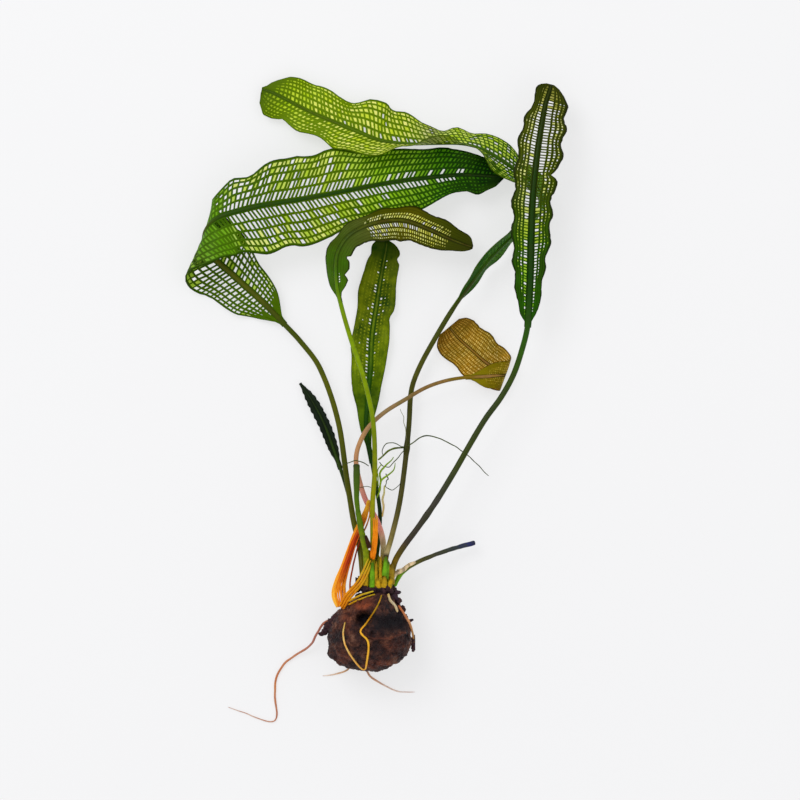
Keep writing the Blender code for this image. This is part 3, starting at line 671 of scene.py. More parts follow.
backLeaf = {  # the bright leaf behind, which turns on edge at the right
    "name": "backLeaf", "node": "leaf_back", "slot": "bright_leaf", "seed": 23,
    "stalk": ((4.8, 17.2, 16.2), (6, 27.4, 14.4), (8, 34.5, 12.6), (10.9, 46.5, 9.6), (12.9, 60, 6.4),
              (14.6, 76.5, 4.4), (15.5, 89.6, 4.2), (18.2, 97.4, 4.6), (22.8, 106.2, 5.6),
              (30.8, 119.6, 7)),
    "blade": ((38, 129.8, 8, 4.2, 4.2, 66, -66), (45.6, 139.6, 8.4, 5.6, 5.6, 68, -68),
              (53.5, 147.4, 8.6, 6.4, 6.4, 72, -72), (61, 153.5, 8.6, 7, 7, 78, -76),
              (64.2, 160.5, 8.6, 7.4, 7.4, 78, -74), (61.5, 166.6, 8.6, 7.8, 7.8, 66, -62),
              (54.8, 171.4, 8.8, 8, 8.2, 52, -48), (48.6, 175.6, 9.2, 8.2, 9, 52, -46),
              (42, 179.4, 9.6, 8.4, 10, 74, -52), (34.5, 181.3, 9.8, 8.6, 11, 94, -58),
              (24.4, 181.4, 9.8, 9.4, 11.6, 104, -54), (14.6, 181.3, 9, 11, 13, 84, -36),
              (3.8, 182.6, 8, 12.6, 14.4, 60, -16), (-4.5, 186, 7, 12, 13, 46, -8),
              (-10, 188.3, 6.3, 10.4, 10, 26, -6), (-15, 190.4, 5.6, 8, 9.4, 14, -4),
              (-24, 194.4, 4.6, 7.8, 10.6, 4, -2), (-32.4, 198.9, 3.8, 9, 8.4, 0, 0),
              (-36.7, 201, 3.3, 8.4, 5, 0, 0), (-39.2, 201.9, 3, 5.6, 1.8, 0, 0),
              (-40, 202.2, 2.9, 3.4, 0.6, 0, 0), (-40.5, 202.3, 2.9, 1.4, 0.3, 0, 0)),
    "radii": (1.2, 1.1, 0.4), "ripple": (0.7, 17, 1), "columns": 102,
    "notches": ((-1, 0.925, 0.13, 0.012), (-1, 0.885, -0.08, 0.02)),
    "rows": ((0.012, 0.2), (0.215, 0.4), (0.415, 0.57), (0.585, 0.73), (0.745, 0.86), (0.872, 0.96)),
    "rowVein": (1.1, 1, 0.95, 0.9, 0.85, 0.75),
    "slant": ((0, 0.2, 0.2), (0.6, 0.3, 0.4), (0.8, 0.8, 0.6), (1, 1.0, 0.6)),
    "vein": ((0.4, 0.28), (0.6, 0.34), (0.7, 0.36)),
    "openNear": ((0, 0.05, 0.05), (0.34, 0.2, 0.2), (0.4, 0.7, 0.7), (0.56, 0.5, 0.5), (0.62, 0.1, 0.3),
                 (0.75, 0.02, 0.3), (0.92, 0.02, 0.05), (1, 0, 0)),
    "openFar": ((0, 0.05, 0.05), (0.34, 0.2, 0.2), (0.4, 0.5, 0.5), (0.5, 0.4, 0.4), (0.6, 0.1, 0.15),
                (0.8, 0.02, 0.1), (1, 0, 0)),
    "rowOpen": (1, 1, 0.9, 0.8, 0.7, 0.5),
    # the greyer net and film stops at 0.6 are a painted sheen on the wet bulge over the midrib
    "net": ((0, 32, 88, 4), (0.3, 48, 108, 4), (0.42, 70, 116, 0), (0.56, 96, 130, 8), (0.6, 110, 124, 50),
            (0.64, 114, 148, 0), (0.78, 124, 156, 0), (0.9, 128, 160, 0), (1, 92, 122, 0)),
    # near-white film stops are painted light, for the lit table seen through open windows; the greener stops
    # are the membranes' own colour
    "film": ((0, 96, 164, 50), (0.3, 104, 172, 50), (0.42, 220, 240, 100), (0.56, 240, 250, 130),
             (0.6, 220, 224, 160), (0.66, 255, 255, 150), (0.86, 255, 255, 140), (0.93, 226, 244, 70),
             (1, 120, 150, 16)),
    "rib": ((0, 120, 104, 10), (0.034, 150, 144, 30), (0.039, 54, 36, 18), (0.043, 212, 190, 136),
            (0.054, 150, 134, 74), (0.1, 84, 78, 30), (0.2, 62, 62, 20), (0.3, 84, 86, 18),
            (0.42, 54, 70, 12), (0.46, 50, 92, 2), (0.7, 60, 104, 0), (0.9, 90, 118, 0), (1, 66, 94, 4)),
    "ribSpots": (56, 60, 14), "knots": ((52.8, 0.45),),
    "look": {"margin": (84, 112, 0), "marginWidth": 0.04, "nearRib": (210, 222, 180),
             "spots": (110, 140, 0), "spotAmount": 0.25, "roughness": 0.3, "through": 0.4,
             "strip": (200, 212, 160), "filmDeep": (220, 238, 96)},
}

tallLeaf = {  # the upright dark leaf on the right, with its wavy margins
    "name": "tallLeaf", "node": "leaf_tall", "slot": "dark_leaf", "seed": 31,
    "stalk": ((7.8, 18.4, 14.2), (9.2, 25.6, 14.8), (12.6, 31.4, 15.2), (17.4, 37.8, 15.2),
              (24.4, 47.8, 14.9), (31.2, 58.8, 14.5), (37.8, 70.3, 14), (43.2, 79.2, 13.6),
              (48.8, 86.8, 13.4), (53.6, 95.6, 13.4), (57, 106, 14.6), (58.6, 112.9, 15.8)),
    "blade": ((58.9, 118, 16.7, 3.2, 3, -5, -5), (59.2, 123.4, 17.6, 4.6, 4, -6, -6),
              (59.6, 134.6, 19, 6.4, 5.4, -8, -8), (59.8, 146, 20, 7, 7.2, -10, -10),
              (60.4, 160.9, 20.6, 7.4, 7.6, -10, -12), (61.9, 175.9, 19.6, 7.4, 9.2, -8, -12),
              (63.6, 187.1, 17, 7, 9, -6, -8), (65.4, 196.4, 13.6, 4.6, 8.2, -4, -6),
              (66.8, 200.6, 11.6, 4.8, 6, -2, -3), (67.4, 202.6, 10.8, 3.6, 3.4, 0, 0),
              (67.6, 203.4, 10.5, 1.8, 1.2, 0, 0)),
    "radii": (1.2, 1.15, 0.4), "ripple": (0.8, 11, 2), "push": 0.08, "tooth": 0.06, "ruffle": 0.9,
    "columns": 84,
    "rows": ((0.06, 0.34), (0.38, 0.54), (0.585, 0.715), (0.76, 0.87)), "rowVein": (0.9, 1, 1.1, 1.2),
    "slant": ((0, 0.35, 0.35), (0.5, 0.15, 0.1), (1, 0.2, 0.1)),
    "vein": ((0, 0.28), (0.5, 0.26), (0.9, 0.24), (1, 0.3)),
    "openNear": ((0, 0.2, 0.6), (0.08, 0.5, 0.7), (0.25, 0.6, 0.8), (0.4, 0.4, 0.6), (0.5, 0.7, 0.8),
                 (0.6, 0.9, 0.9), (0.85, 0.9, 0.8), (0.93, 0.3, 0.4), (0.97, 0, 0)),
    "openFar": ((0, 0.1, 0.3), (0.08, 0.3, 0.5), (0.25, 0.4, 0.6), (0.4, 0.2, 0.3), (0.5, 0.2, 0.4),
                (0.6, 0.4, 0.7), (0.85, 0.4, 0.7), (0.93, 0.1, 0.4), (0.97, 0, 0)),
    "rowOpen": (1, 0.95, 0.8, 0.4),
    "notches": ((1, 0.618, 0.26, 0.011),),
    "knots": ((36, 0.3), (28, 0.3), (47, 0.2)),
    "net": ((0, 40, 104, 2), (0.3, 54, 104, 0), (0.55, 78, 98, 0), (0.8, 90, 100, 0), (1, 66, 72, 8)),
    # near-white film stops are painted light, for the lit table seen through open windows; the greener stops
    # are the membranes' own colour
    "film": ((0, 100, 180, 14), (0.25, 190, 230, 70), (0.4, 200, 220, 80), (0.55, 246, 250, 160),
             (0.8, 250, 250, 190), (0.92, 210, 206, 110), (1, 110, 110, 36)),
    "rib": ((0, 130, 100, 8), (0.05, 116, 92, 14), (0.08, 64, 54, 44), (0.18, 64, 62, 54),
            (0.26, 62, 74, 18), (0.36, 54, 66, 30), (0.44, 56, 76, 14), (0.5, 48, 96, 10),
            (0.56, 36, 84, 6), (0.62, 20, 66, 2), (0.8, 28, 60, 0), (1, 46, 54, 2)),
    "ribSpots": (44, 56, 18),
    "look": {"margin": (44, 38, 34), "marginWidth": 0.07, "nearRib": (180, 200, 170), "spots": (40, 56, 2),
             "spotAmount": 0.45, "roughness": 0.32, "through": 0.35, "strip": (170, 174, 140),
             "filmDeep": (236, 242, 170)},
}

archedLeaf = {  # the leaf that arches to the right in the middle, green then brown
    "name": "archedLeaf", "node": "leaf_arched", "slot": "arched_leaf", "seed": 47,
    "stalk": ((1.3, 17, 16.2), (1.1, 35.2, 15.4), (1.1, 48.4, 14.2), (1.9, 59.6, 13), (1.4, 76.5, 12.2),
              (-0.2, 86, 12.6), (-3.2, 97.2, 13.6), (-7, 108.4, 14.8), (-10.9, 122.2, 16.4)),
    "blade": ((-12.4, 131, 18, 6, 6.2, -54, 42), (-12, 139.8, 19.4, 6.3, 7.4, -52, 44),
              (-8.2, 146.2, 20, 5.8, 7, -50, 42), (-2.2, 150, 19.8, 6.2, 7, -50, 28),
              (5.4, 152.2, 18.8, 7, 7.8, -52, 6), (13.2, 152.4, 17.2, 7.4, 7.6, -44, -6),
              (22.2, 149.2, 14.6, 6.8, 6.4, -32, -8), (29.4, 146, 12.2, 5.8, 5, -22, -8),
              (35, 143.9, 10.4, 4.2, 2.8, -10, -5), (37.2, 143.1, 9.9, 2.6, 1.6, 0, 0),
              (38.4, 142.8, 9.6, 0.6, 0.6, 0, 0)),
    "radii": (1.1, 0.95, 0.3), "ripple": (0.5, 12, 0.5), "tooth": 0.05, "ruffle": 0.7, "columns": 84,
    "rows": ((0.06, 0.3), (0.33, 0.53), (0.56, 0.73), (0.76, 0.88)), "rowVein": (1, 1, 1, 1.1),
    "plain": ((-1, 0.5),),
    "slant": ((0, 0.3, 0.3), (1, 0.5, 0.4)),
    "vein": ((0.09, 0.9), (0.1, 0.22), (0.14, 0.22), (0.15, 0.9), (0.23, 0.9), (0.24, 0.24), (0.27, 0.24),
             (0.28, 0.9), (0.42, 0.9), (0.44, 0.2), (0.8, 0.22), (0.87, 0.26), (0.9, 0.9)),
    "openNear": ((0, 0, 0.9), (0.3, 0, 0.5), (0.44, 0.2, 0.6), (0.5, 0.2, 0.7), (0.62, 0.2, 0.5),
                 (0.75, 0.2, 0.2), (0.86, 0.1, 0.1), (0.92, 0, 0)),
    "openFar": ((0.4, 0, 0.05), (0.44, 0.1, 0.7), (0.54, 0.1, 0.6), (0.62, 0.1, 0.1), (0.9, 0, 0)),
    "rowOpen": (1, 1, 0.6, 0.1),
    "notches": ((1, 0.05, 0.3, 0.012), (1, 0.14, 0.4, 0.016), (1, 0.24, 0.35, 0.014)),
    "net": ((0, 84, 136, 6), (0.2, 72, 118, 6), (0.32, 84, 108, 30), (0.42, 96, 108, 40), (0.5, 92, 98, 6),
            (0.66, 104, 100, 0), (0.8, 86, 92, 0), (0.9, 72, 80, 0), (1, 58, 62, 4)),
    # near-white film stops are painted light, for the lit table seen through open windows; the greener stops
    # are the membranes' own colour
    "film": ((0, 84, 136, 6), (0.3, 76, 120, 10), (0.42, 150, 160, 50), (0.48, 255, 255, 200),
             (0.6, 250, 255, 170), (0.7, 250, 252, 150), (0.84, 246, 246, 150), (0.92, 96, 94, 6),
             (1, 66, 60, 4)),
    "rib": ((0, 144, 138, 6), (0.14, 156, 152, 2), (0.3, 118, 136, 2), (0.42, 144, 172, 2),
            (0.55, 124, 156, 2), (0.62, 92, 136, 6), (0.66, 60, 100, 6), (0.74, 56, 72, 10),
            (0.8, 72, 66, 6), (1, 66, 58, 6)),
    "ribSpots": (98, 112, 6),
    "look": {"margin": (38, 44, 18), "marginWidth": 0.1, "nearRib": (190, 200, 165), "spots": (66, 76, 6),
             "spotAmount": 0.4, "roughness": 0.3, "through": 0.35, "strip": (204, 200, 180),
             "filmDeep": (250, 246, 160)},
}

darkLeaf = {  # the broad dark leaf in the middle, with few holes
    "name": "darkLeaf", "node": "leaf_dark", "slot": "dark_leaf", "seed": 59,
    "stalk": ((0.6, 17.8, 12.4), (2.6, 28, 8.4), (3.8, 42.8, 4.6), (2.6, 52.1, 3.6), (0.8, 62.2, 3)),
    "blade": ((-1.4, 74.6, 2.2, 2, 2.2, -4, 4), (-0.8, 86, 2, 5, 4, -6, 6), (0.2, 97, 2, 7.6, 5.4, -6, 8),
              (0.8, 110, 2, 7.2, 6.6, -4, 10), (2.8, 123.4, 2, 7.4, 6.8, -6, 6),
              (4.6, 134.6, 2, 6.8, 6, -4, 8), (6, 142, 2, 5.8, 5.3, -2, 4), (6.3, 144, 2, 5, 3.6, 0, 2),
              (6.4, 145.6, 2, 3.8, 0.8, 0, 0)),
    "radii": (0.9, 0.8, 0.35), "ripple": (0.7, 18, 1.5), "ruffle": 0.6, "columns": 70,
    "rows": ((0.05, 0.25), (0.28, 0.46), (0.49, 0.66), (0.69, 0.84)), "rowVein": (1, 1.1, 1.2, 1.2),
    "slant": ((0, 0.3, 0.3),),
    "vein": ((0.28, 0.5), (0.32, 0.34), (0.5, 0.32), (0.9, 0.33), (0.95, 0.6)),
    "openNear": ((0, 0, 0), (0.3, 0.1, 0.1), (0.45, 0.5, 0.35), (0.7, 0.6, 0.4), (0.9, 0.2, 0.15),
                 (1, 0, 0)),
    "openFar": ((0, 0, 0), (0.3, 0.05, 0.05), (0.5, 0.22, 0.22), (0.7, 0.22, 0.26), (0.9, 0.08, 0.15),
                (1, 0, 0)),
    "rowOpen": (1, 0.9, 0.7, 0.3),
    "notches": ((1, 0.925, 0.22, 0.014), (-1, 0.93, 0.1, 0.02), (1, 0.66, 0.2, 0.03)),
    "net": ((0, 36, 70, 6), (0.2, 90, 124, 2), (0.4, 140, 164, 8), (0.7, 146, 160, 12), (0.9, 126, 142, 16),
            (1, 70, 84, 10)),
    "film": ((0, 44, 84, 6), (0.2, 96, 130, 4), (0.4, 170, 186, 20), (0.7, 190, 196, 40),
             (0.9, 170, 180, 40), (1, 76, 90, 10)),
    "rib": ((0, 90, 90, 8), (0.08, 30, 56, 8), (0.2, 24, 50, 8), (0.36, 24, 54, 6), (0.6, 44, 90, 4),
            (0.7, 104, 132, 6), (0.9, 112, 128, 10), (1, 70, 84, 8)),
    "ribSpots": (24, 60, 4),
    "look": {"margin": (84, 94, 10), "marginWidth": 0.05, "nearRib": (110, 170, 90), "spots": (32, 72, 0),
             "spotAmount": 0.95, "cloud": 110.0, "roughness": 0.3, "through": 0.35,
             "strip": (236, 240, 220), "filmDeep": (200, 206, 150)},
}

yellowLeaf = {  # the golden brown leaf, folded under itself
    "name": "yellowLeaf", "node": "leaf_yellow", "slot": "brown_leaf", "seed": 67,
    "stalk": ((3.8, 17.8, 12.4), (4.9, 26, 10.4), (4.9, 33.4, 9.2), (3, 40.1, 8.4), (-1.5, 48.4, 7.6),
              (-4, 56, 7.2), (-5.2, 62.6, 7), (-4.5, 68, 7), (-0.8, 75.4, 7.2), (5.6, 81.4, 8.2),
              (13.1, 86, 9.2), (20.6, 90.4, 9), (28, 93, 8.6), (35.6, 94.3, 8.2)),
    "blade": ((43, 94.6, 8.2, 3.4, 4, 4, -4), (50, 95, 8.2, 5.6, 5.6, 0, 0)),
    "turned": ((44.4, 99.2, 1.9, 8.4, 8.4, 0, 0), (38.1, 104.6, 2, 8.9, 8.9, 0, 0),
               (32.8, 109.4, 2.2, 8.6, 8.6, 2, 2), (30.6, 112, 2.2, 7, 7, 0, 0),
               (29.6, 113.2, 2.2, 4.6, 4.6, 0, 0)),
    "roll": {"edge": (51.6, 97.5), "along": (-0.36, -0.93), "sheetHeight": 8.2, "lineHeight": 5.1},
    "radii": (1.25, 0.7, 0.2), "ripple": (0.4, 12, 0), "columns": 64,
    "rows": ((0.03, 0.17), (0.19, 0.31), (0.33, 0.45), (0.47, 0.585), (0.605, 0.71), (0.73, 0.83),
             (0.85, 0.94)),
    "rowVein": (1,) * 7,
    "slant": ((0, 0.2, 0.2),),
    "vein": ((0, 0.16), (1, 0.14)),
    "openNear": ((0.3, 0.1, 0.1), (0.45, 0.05, 0.1), (1, 0, 0)),
    "openFar": ((0, 0.1, 0.3), (0.2, 0.1, 0.5), (0.32, 0.1, 0.3), (0.4, 0, 0)),
    "rowOpen": (0.3, 0.9, 1, 1, 0.5, 0.2, 0),
    "net": ((0, 156, 146, 8), (0.3, 160, 140, 6), (0.45, 196, 150, 16), (0.75, 190, 142, 22),
            (1, 140, 96, 14)),
    # near-white film stops are painted light, for the lit table seen through open windows; the greener stops
    # are the membranes' own colour
    "film": ((0, 210, 196, 60), (0.3, 236, 210, 80), (0.45, 255, 236, 150), (0.75, 250, 222, 120),
             (1, 196, 146, 44)),
    "rib": ((0, 132, 134, 6), (0.06, 160, 160, 40), (0.085, 216, 206, 150), (0.115, 226, 190, 160),
            (0.135, 244, 164, 146), (0.18, 240, 136, 150), (0.26, 222, 158, 130), (0.34, 204, 150, 100),
            (0.46, 150, 128, 84), (0.56, 112, 92, 34), (0.66, 122, 100, 16), (0.8, 144, 110, 14),
            (1, 156, 114, 18)),
    "ribSpots": (172, 126, 90),
    "look": {"margin": (104, 78, 10), "marginWidth": 0.04, "nearRib": (180, 185, 120),
             "spots": (104, 92, 4), "spotAmount": 0.9, "cloud": 90.0, "roughness": 0.32, "through": 0.4,
             "strip": (170, 160, 140), "filmDeep": (200, 180, 110)},
}

smallLeaf = {  # the small nearly black leaf on the left: a toothed margin, and veins too wide for windows
    "name": "smallLeaf", "node": "leaf_small", "slot": "small_leaf", "seed": 71,
    "stalk": ((-2.6, 17.6, 11), (-3.5, 30, 7), (-6.2, 42.6, 4.4), (-8.8, 53, 3.4), (-11, 60, 3)),
    "blade": ((-13.4, 67, 2.4, 1.8, 1.8, 20, 20), (-17, 76.6, 2, 2.4, 2.2, 24, 20),
              (-21.9, 86, 1.8, 2.1, 1.9, 20, 20), (-26.2, 92.2, 1.4, 0.3, 0.3, 0, 0)),
    "radii": (0.75, 0.75, 0.3), "ripple": (0.3, 2.6, 0), "push": 0.14, "ruffle": 0.3, "columns": 44,
    "rows": ((0.3, 0.6),),
    "rowVein": (1,),
    "slant": ((0, 0.2, 0.2),),
    "vein": ((0, 9),),
    "net": ((0, 36, 48, 20), (0.5, 26, 38, 26), (1, 34, 46, 26)),
    "film": ((0, 34, 52, 26), (1, 38, 54, 30)),
    "rib": ((0, 60, 70, 20), (0.3, 56, 72, 20), (0.6, 48, 72, 16), (1, 26, 40, 22)),
    "ribSpots": (30, 36, 14),
    "look": {"margin": (18, 22, 24), "marginWidth": 0.2, "nearRib": (200, 220, 200), "spots": (16, 22, 18),
             "spotAmount": 0.5, "roughness": 0.32, "through": 0.1, "strip": (220, 220, 220),
             "filmDeep": (200, 200, 200)},
}

for leaf in (foldedLeaf, backLeaf, tallLeaf, archedLeaf, darkLeaf, yellowLeaf, smallLeaf):
    buildLeaf(leaf)


# Tuber. Its reach goes all round in even steps. Swells, furrows and pits: how fine, how high or deep.
# A spot is x, y, half sizes, and a height or strength.
tuberShape = {
    "middle": 13.0, "halfHeight": 15.0,
    "swells": ((0.14, 0.7), (0.42, 0.6), (1.3, 0.35)), "furrows": (0.7, 1.1), "pits": (2.4, 0.25),
    "ridgeHeight": 1.6, "ridgeReach": 0.5,
    "reach": (15.0, 14.0, 14.0, 15.2, 17.0, 17.2, 16.2, 14.6, 12.9, 12.5, 13.9, 14.4, 15.4, 16.1, 17.5,
              16.6, 15.6, 15.1, 14.7, 14.9, 15.3, 15.6, 16.2, 16.0),
    "lumps": ((-2, 5.2, 3.0, 2.3, -6.5), (7.5, 3.2, 5.6, 3.0, -3.4), (9, -4.6, 3.6, 2.2, 0.8),
              (-10, -3.4, 3.6, 5, 0.9), (3.0, -9.5, 5, 3.2, 0.7), (-2.6, 10.4, 3.6, 2.0, 0.9),
              (-9, 5.4, 2.6, 3.2, 1.5), (4.0, 10.6, 2.6, 2.2, 0.8), (-6.4, 9, 2.0, 1.6, 0.8),
              (12.4, 5.6, 2.0, 3.0, 0.8), (-5.6, 4.6, 1.2, 3.4, 0.9)),
    "ridge": ((-3, -0.3), (1.4, -2), (7.4, -2.1), (13, -0.2)),
    "hollows": ((-2, 5.2, 3.3, 2.6), (7.2, 3.4, 6.4, 3.4)),
    "rustAndRidgeHighlight": ((-2.6, 10.4, 3.6, 2.0, 1.0), (-9, 4.6, 2.4, 3.4, 0.35), (5, -11.4, 3.4, 1.2, 0.45),
             (-10, -9.5, 3, 2.6, 0.3), (0, -11.8, 2.4, 1.4, 0.45), (9, -5, 4, 2.4, 0.2)),
}


def tuberReach(angle):
    reach = tuberShape["reach"]
    turn = (angle % math.tau) / math.tau * len(reach)
    index = int(turn)
    share = turn - index
    share = share * share * (3 - 2 * share)
    return reach[index % len(reach)] * (1 - share) + reach[(index + 1) % len(reach)] * share


def ridgeDistance(x, y):  # how far a place is from the ridge that divides the hollows
    best = 99.0
    for (ax, ay), (bx, by) in zip(tuberShape["ridge"], tuberShape["ridge"][1:]):
        run = Vector((bx - ax, by - ay))
        share = min(max(Vector((x - ax, y - ay)).dot(run) / run.length_squared, 0), 1)
        best = min(best, (Vector((x, y)) - Vector((ax, ay)) - run * share).length)
    return best


def spotShare(x, y, spot, power):  # 1 in the middle of an oval spot, hardly anything outside
    return math.exp(-math.hypot((x - spot[0]) / spot[2], (y - spot[1]) / spot[3]) ** power)


def buildTuber():
    piece = newBall(7, 1.0)
    mesh = piece.data
    rustAndRidgeHighlight = mesh.attributes.new("rustAndRidgeHighlight", 'FLOAT', 'POINT')
    pitShadeAndScar = mesh.attributes.new("pitShadeAndScar", 'FLOAT', 'POINT')
    for vert in mesh.vertices:
        ball = vert.co.copy()
        reach = tuberReach(math.atan2(ball.y, ball.x))
        x, y = ball.x * reach, ball.y * reach
        z = tuberShape["middle"] + tuberShape["halfHeight"] * ball.z
        place = Vector((x, y, z))
        rough = 0.0
        for scale, size in tuberShape["swells"]:
            rough += noise.noise(place * scale) * size
        (furrows, furrowDepth), (pits, pitDepth) = tuberShape["furrows"], tuberShape["pits"]
        furrow = abs(noise.noise(place * furrows + Vector((5, 2, 9)))) * furrowDepth
        rough += 0.3 - furrow - abs(noise.noise(place * pits)) * pitDepth
        hollow, lip = 0.0, 9.0
        if ball.z > 0:
            hollow = max(spotShare(x, y, spot, 4) for spot in tuberShape["hollows"])
            rough *= 1 - 0.3 * hollow
            for lump in tuberShape["lumps"]:
                z += lump[4] * spotShare(x, y, lump, 3)
            lip = ridgeDistance(x, y)
            z += tuberShape["ridgeHeight"] * bell(lip, tuberShape["ridgeReach"])
        outward = Vector((ball.x, ball.y, ball.z * 1.1)).normalized()
        point = Vector((x, y, z)) + outward * (rough * 0.9)
        point.z = max(point.z, 0.0)
        vert.co = point * mm
        patch = max(spot[4] * spotShare(x, y, spot, 2) for spot in tuberShape["rustAndRidgeHighlight"])
        # the skin's own rust-red patches, and a faint lighter line along the ridge that is a painted
        # highlight
        rustAndRidgeHighlight.data[vert.index].value = max(patch, 0.3 * bell(lip, 0.45)) if ball.z > 0 else 0.1
        # near black in the hollows: painted shade in the pit, and the scar's own dark colour
        pitShadeAndScar.data[vert.index].value = hollow
    piece.name = "tuberBody"
    finishPiece(piece, tuberMaterial(), "tuber", levels=0)
    print("tuber made")
    return piece


def tuberMaterial():
    material, tree, shader = newMaterial("tuberSkin")
    bark = ((0.34, 14, 8, 12), (0.46, 48, 26, 24), (0.56, 84, 48, 36), (0.7, 140, 96, 74))
    cloud = addNoise(tree, Scale=230.0, Detail=6.0, Roughness=0.65)
    rustAndRidgeHighlight = addNode(tree, 'ShaderNodeAttribute', attribute_name="rustAndRidgeHighlight").outputs["Fac"]
    pitShadeAndScar = addNode(tree, 'ShaderNodeAttribute', attribute_name="pitShadeAndScar").outputs["Fac"]
    # the rust colour of the skin's own patches, and a painted highlight along the ridge
    rustAndHighlightShare = addMath(tree, 'MULTIPLY', rustAndRidgeHighlight, cloud)
    rustAndHighlightColour = addMix(tree, rustAndHighlightShare, addRamp(tree, cloud, bark), paint(196, 92, 44))
    # near black over the hollows: painted shade in the pit, and the scar's own dark colour
    colour = addMix(tree, addMath(tree, 'MULTIPLY', pitShadeAndScar, 0.95), rustAndHighlightColour, paint(13, 12, 19))
    skin = addGroup(tree, mottle, Color=colour, Spots=paint(24, 12, 20), Amount=0.55, Scale=420.0,
                    Roughness=0.42)
    wearSkin(tree, shader, skin, 0.22, 1.0, barkDepth)
    return material


tuber = buildTuber()


def onTuber(x, y, lift):  # the height of a root that lies on the finished tuber
    hit, place, *others = tuber.ray_cast(Vector((x, y, 60)) * mm, Vector((0, 0, -1)))
    return place.z / mm + lift if hit else 2.0


# Stalks, roots and threads. Route: x, y, z, radius, where z is None for a root that lies on the tuber.
def plainTube(spec):
    rows = [(x, y, onTuber(x, y, radius * 0.75) if z is None else z, radius)
            for x, y, z, radius in spec["route"]]
    if spec["route"][0][2] is None:  # a root on the tuber follows it closely all the way
        line = makeLine(rows)
        count = max(6, round(line["length"]))
        dense = []
        for index in range(count + 1):
            x, y, z, radius = lineAt(line, line["length"] * index / count)
            dense.append((x, y, onTuber(x, y, radius * 0.75), radius))
        rows = [dense[0]] + [(*row[:2], (last[2] + row[2] + following[2]) / 3 + 0.1, row[3])
                             for last, row, following in zip(dense, dense[1:], dense[2:])] + [dense[-1]]
    parts = []
    manner = {key: spec[key] for key in ("sides", "step", "wobble", "flat") if key in spec}
    for index, (dx, dy, dz) in enumerate(spec.get("strands", ((0, 0, 0),))):
        shifted = [(x + dx, y + dy, z + dz, radius) for x, y, z, radius in rows]
        parts.append(routeTube(spec["name"], shifted, index + 1, **manner))
    piece = joinPieces(parts, spec["name"])
    material = skinMaterial(spec["name"] + "Skin", spec["colours"], spec["spots"], amount=0.6, scale=420.0,
                            roughness=0.35, through=spec.get("through", 0.1))
    finishPiece(piece, material, spec.get("node"))


stalkLook = {"slot": "stalk", "sides": 9, "wobble": 0.1}
cutStalks = (
    {"name": "cutStalkLeft", "node": "cut_stalk_left",
     "route": ((-1, 16.8, 18.8, 1.1), (-1.5, 29.6, 18.2, 1.25), (-3.4, 39, 16.6, 1.2),
               (-4.8, 48.4, 15, 1.0), (-4.9, 55.4, 14.4, 1.3), (-4.9, 62.2, 14, 1.4)),
     "colours": ((0, 160, 160, 2), (0.25, 134, 146, 2), (0.5, 90, 120, 4), (0.7, 76, 108, 8),
                 (0.9, 64, 90, 20), (0.97, 60, 76, 24), (1, 30, 40, 24)), "spots": (60, 84, 8)},
    {"name": "cutStalkRight", "node": "cut_stalk_right",
     "route": ((9, 16.4, 10.6, 0.8), (11.2, 20.6, 10.4, 1.0), (15, 24, 9.6, 0.95), (22.5, 27.4, 7.8, 0.85),
               (30, 30, 6, 0.9), (39.4, 32.6, 4.6, 1.0)),
     "colours": ((0, 120, 184, 30), (0.12, 116, 168, 26), (0.24, 110, 118, 24), (0.4, 84, 78, 36),
                 (0.6, 62, 64, 54), (0.8, 50, 58, 66), (0.93, 40, 44, 100), (1, 22, 24, 70)),
     "spots": (66, 70, 34)},
)

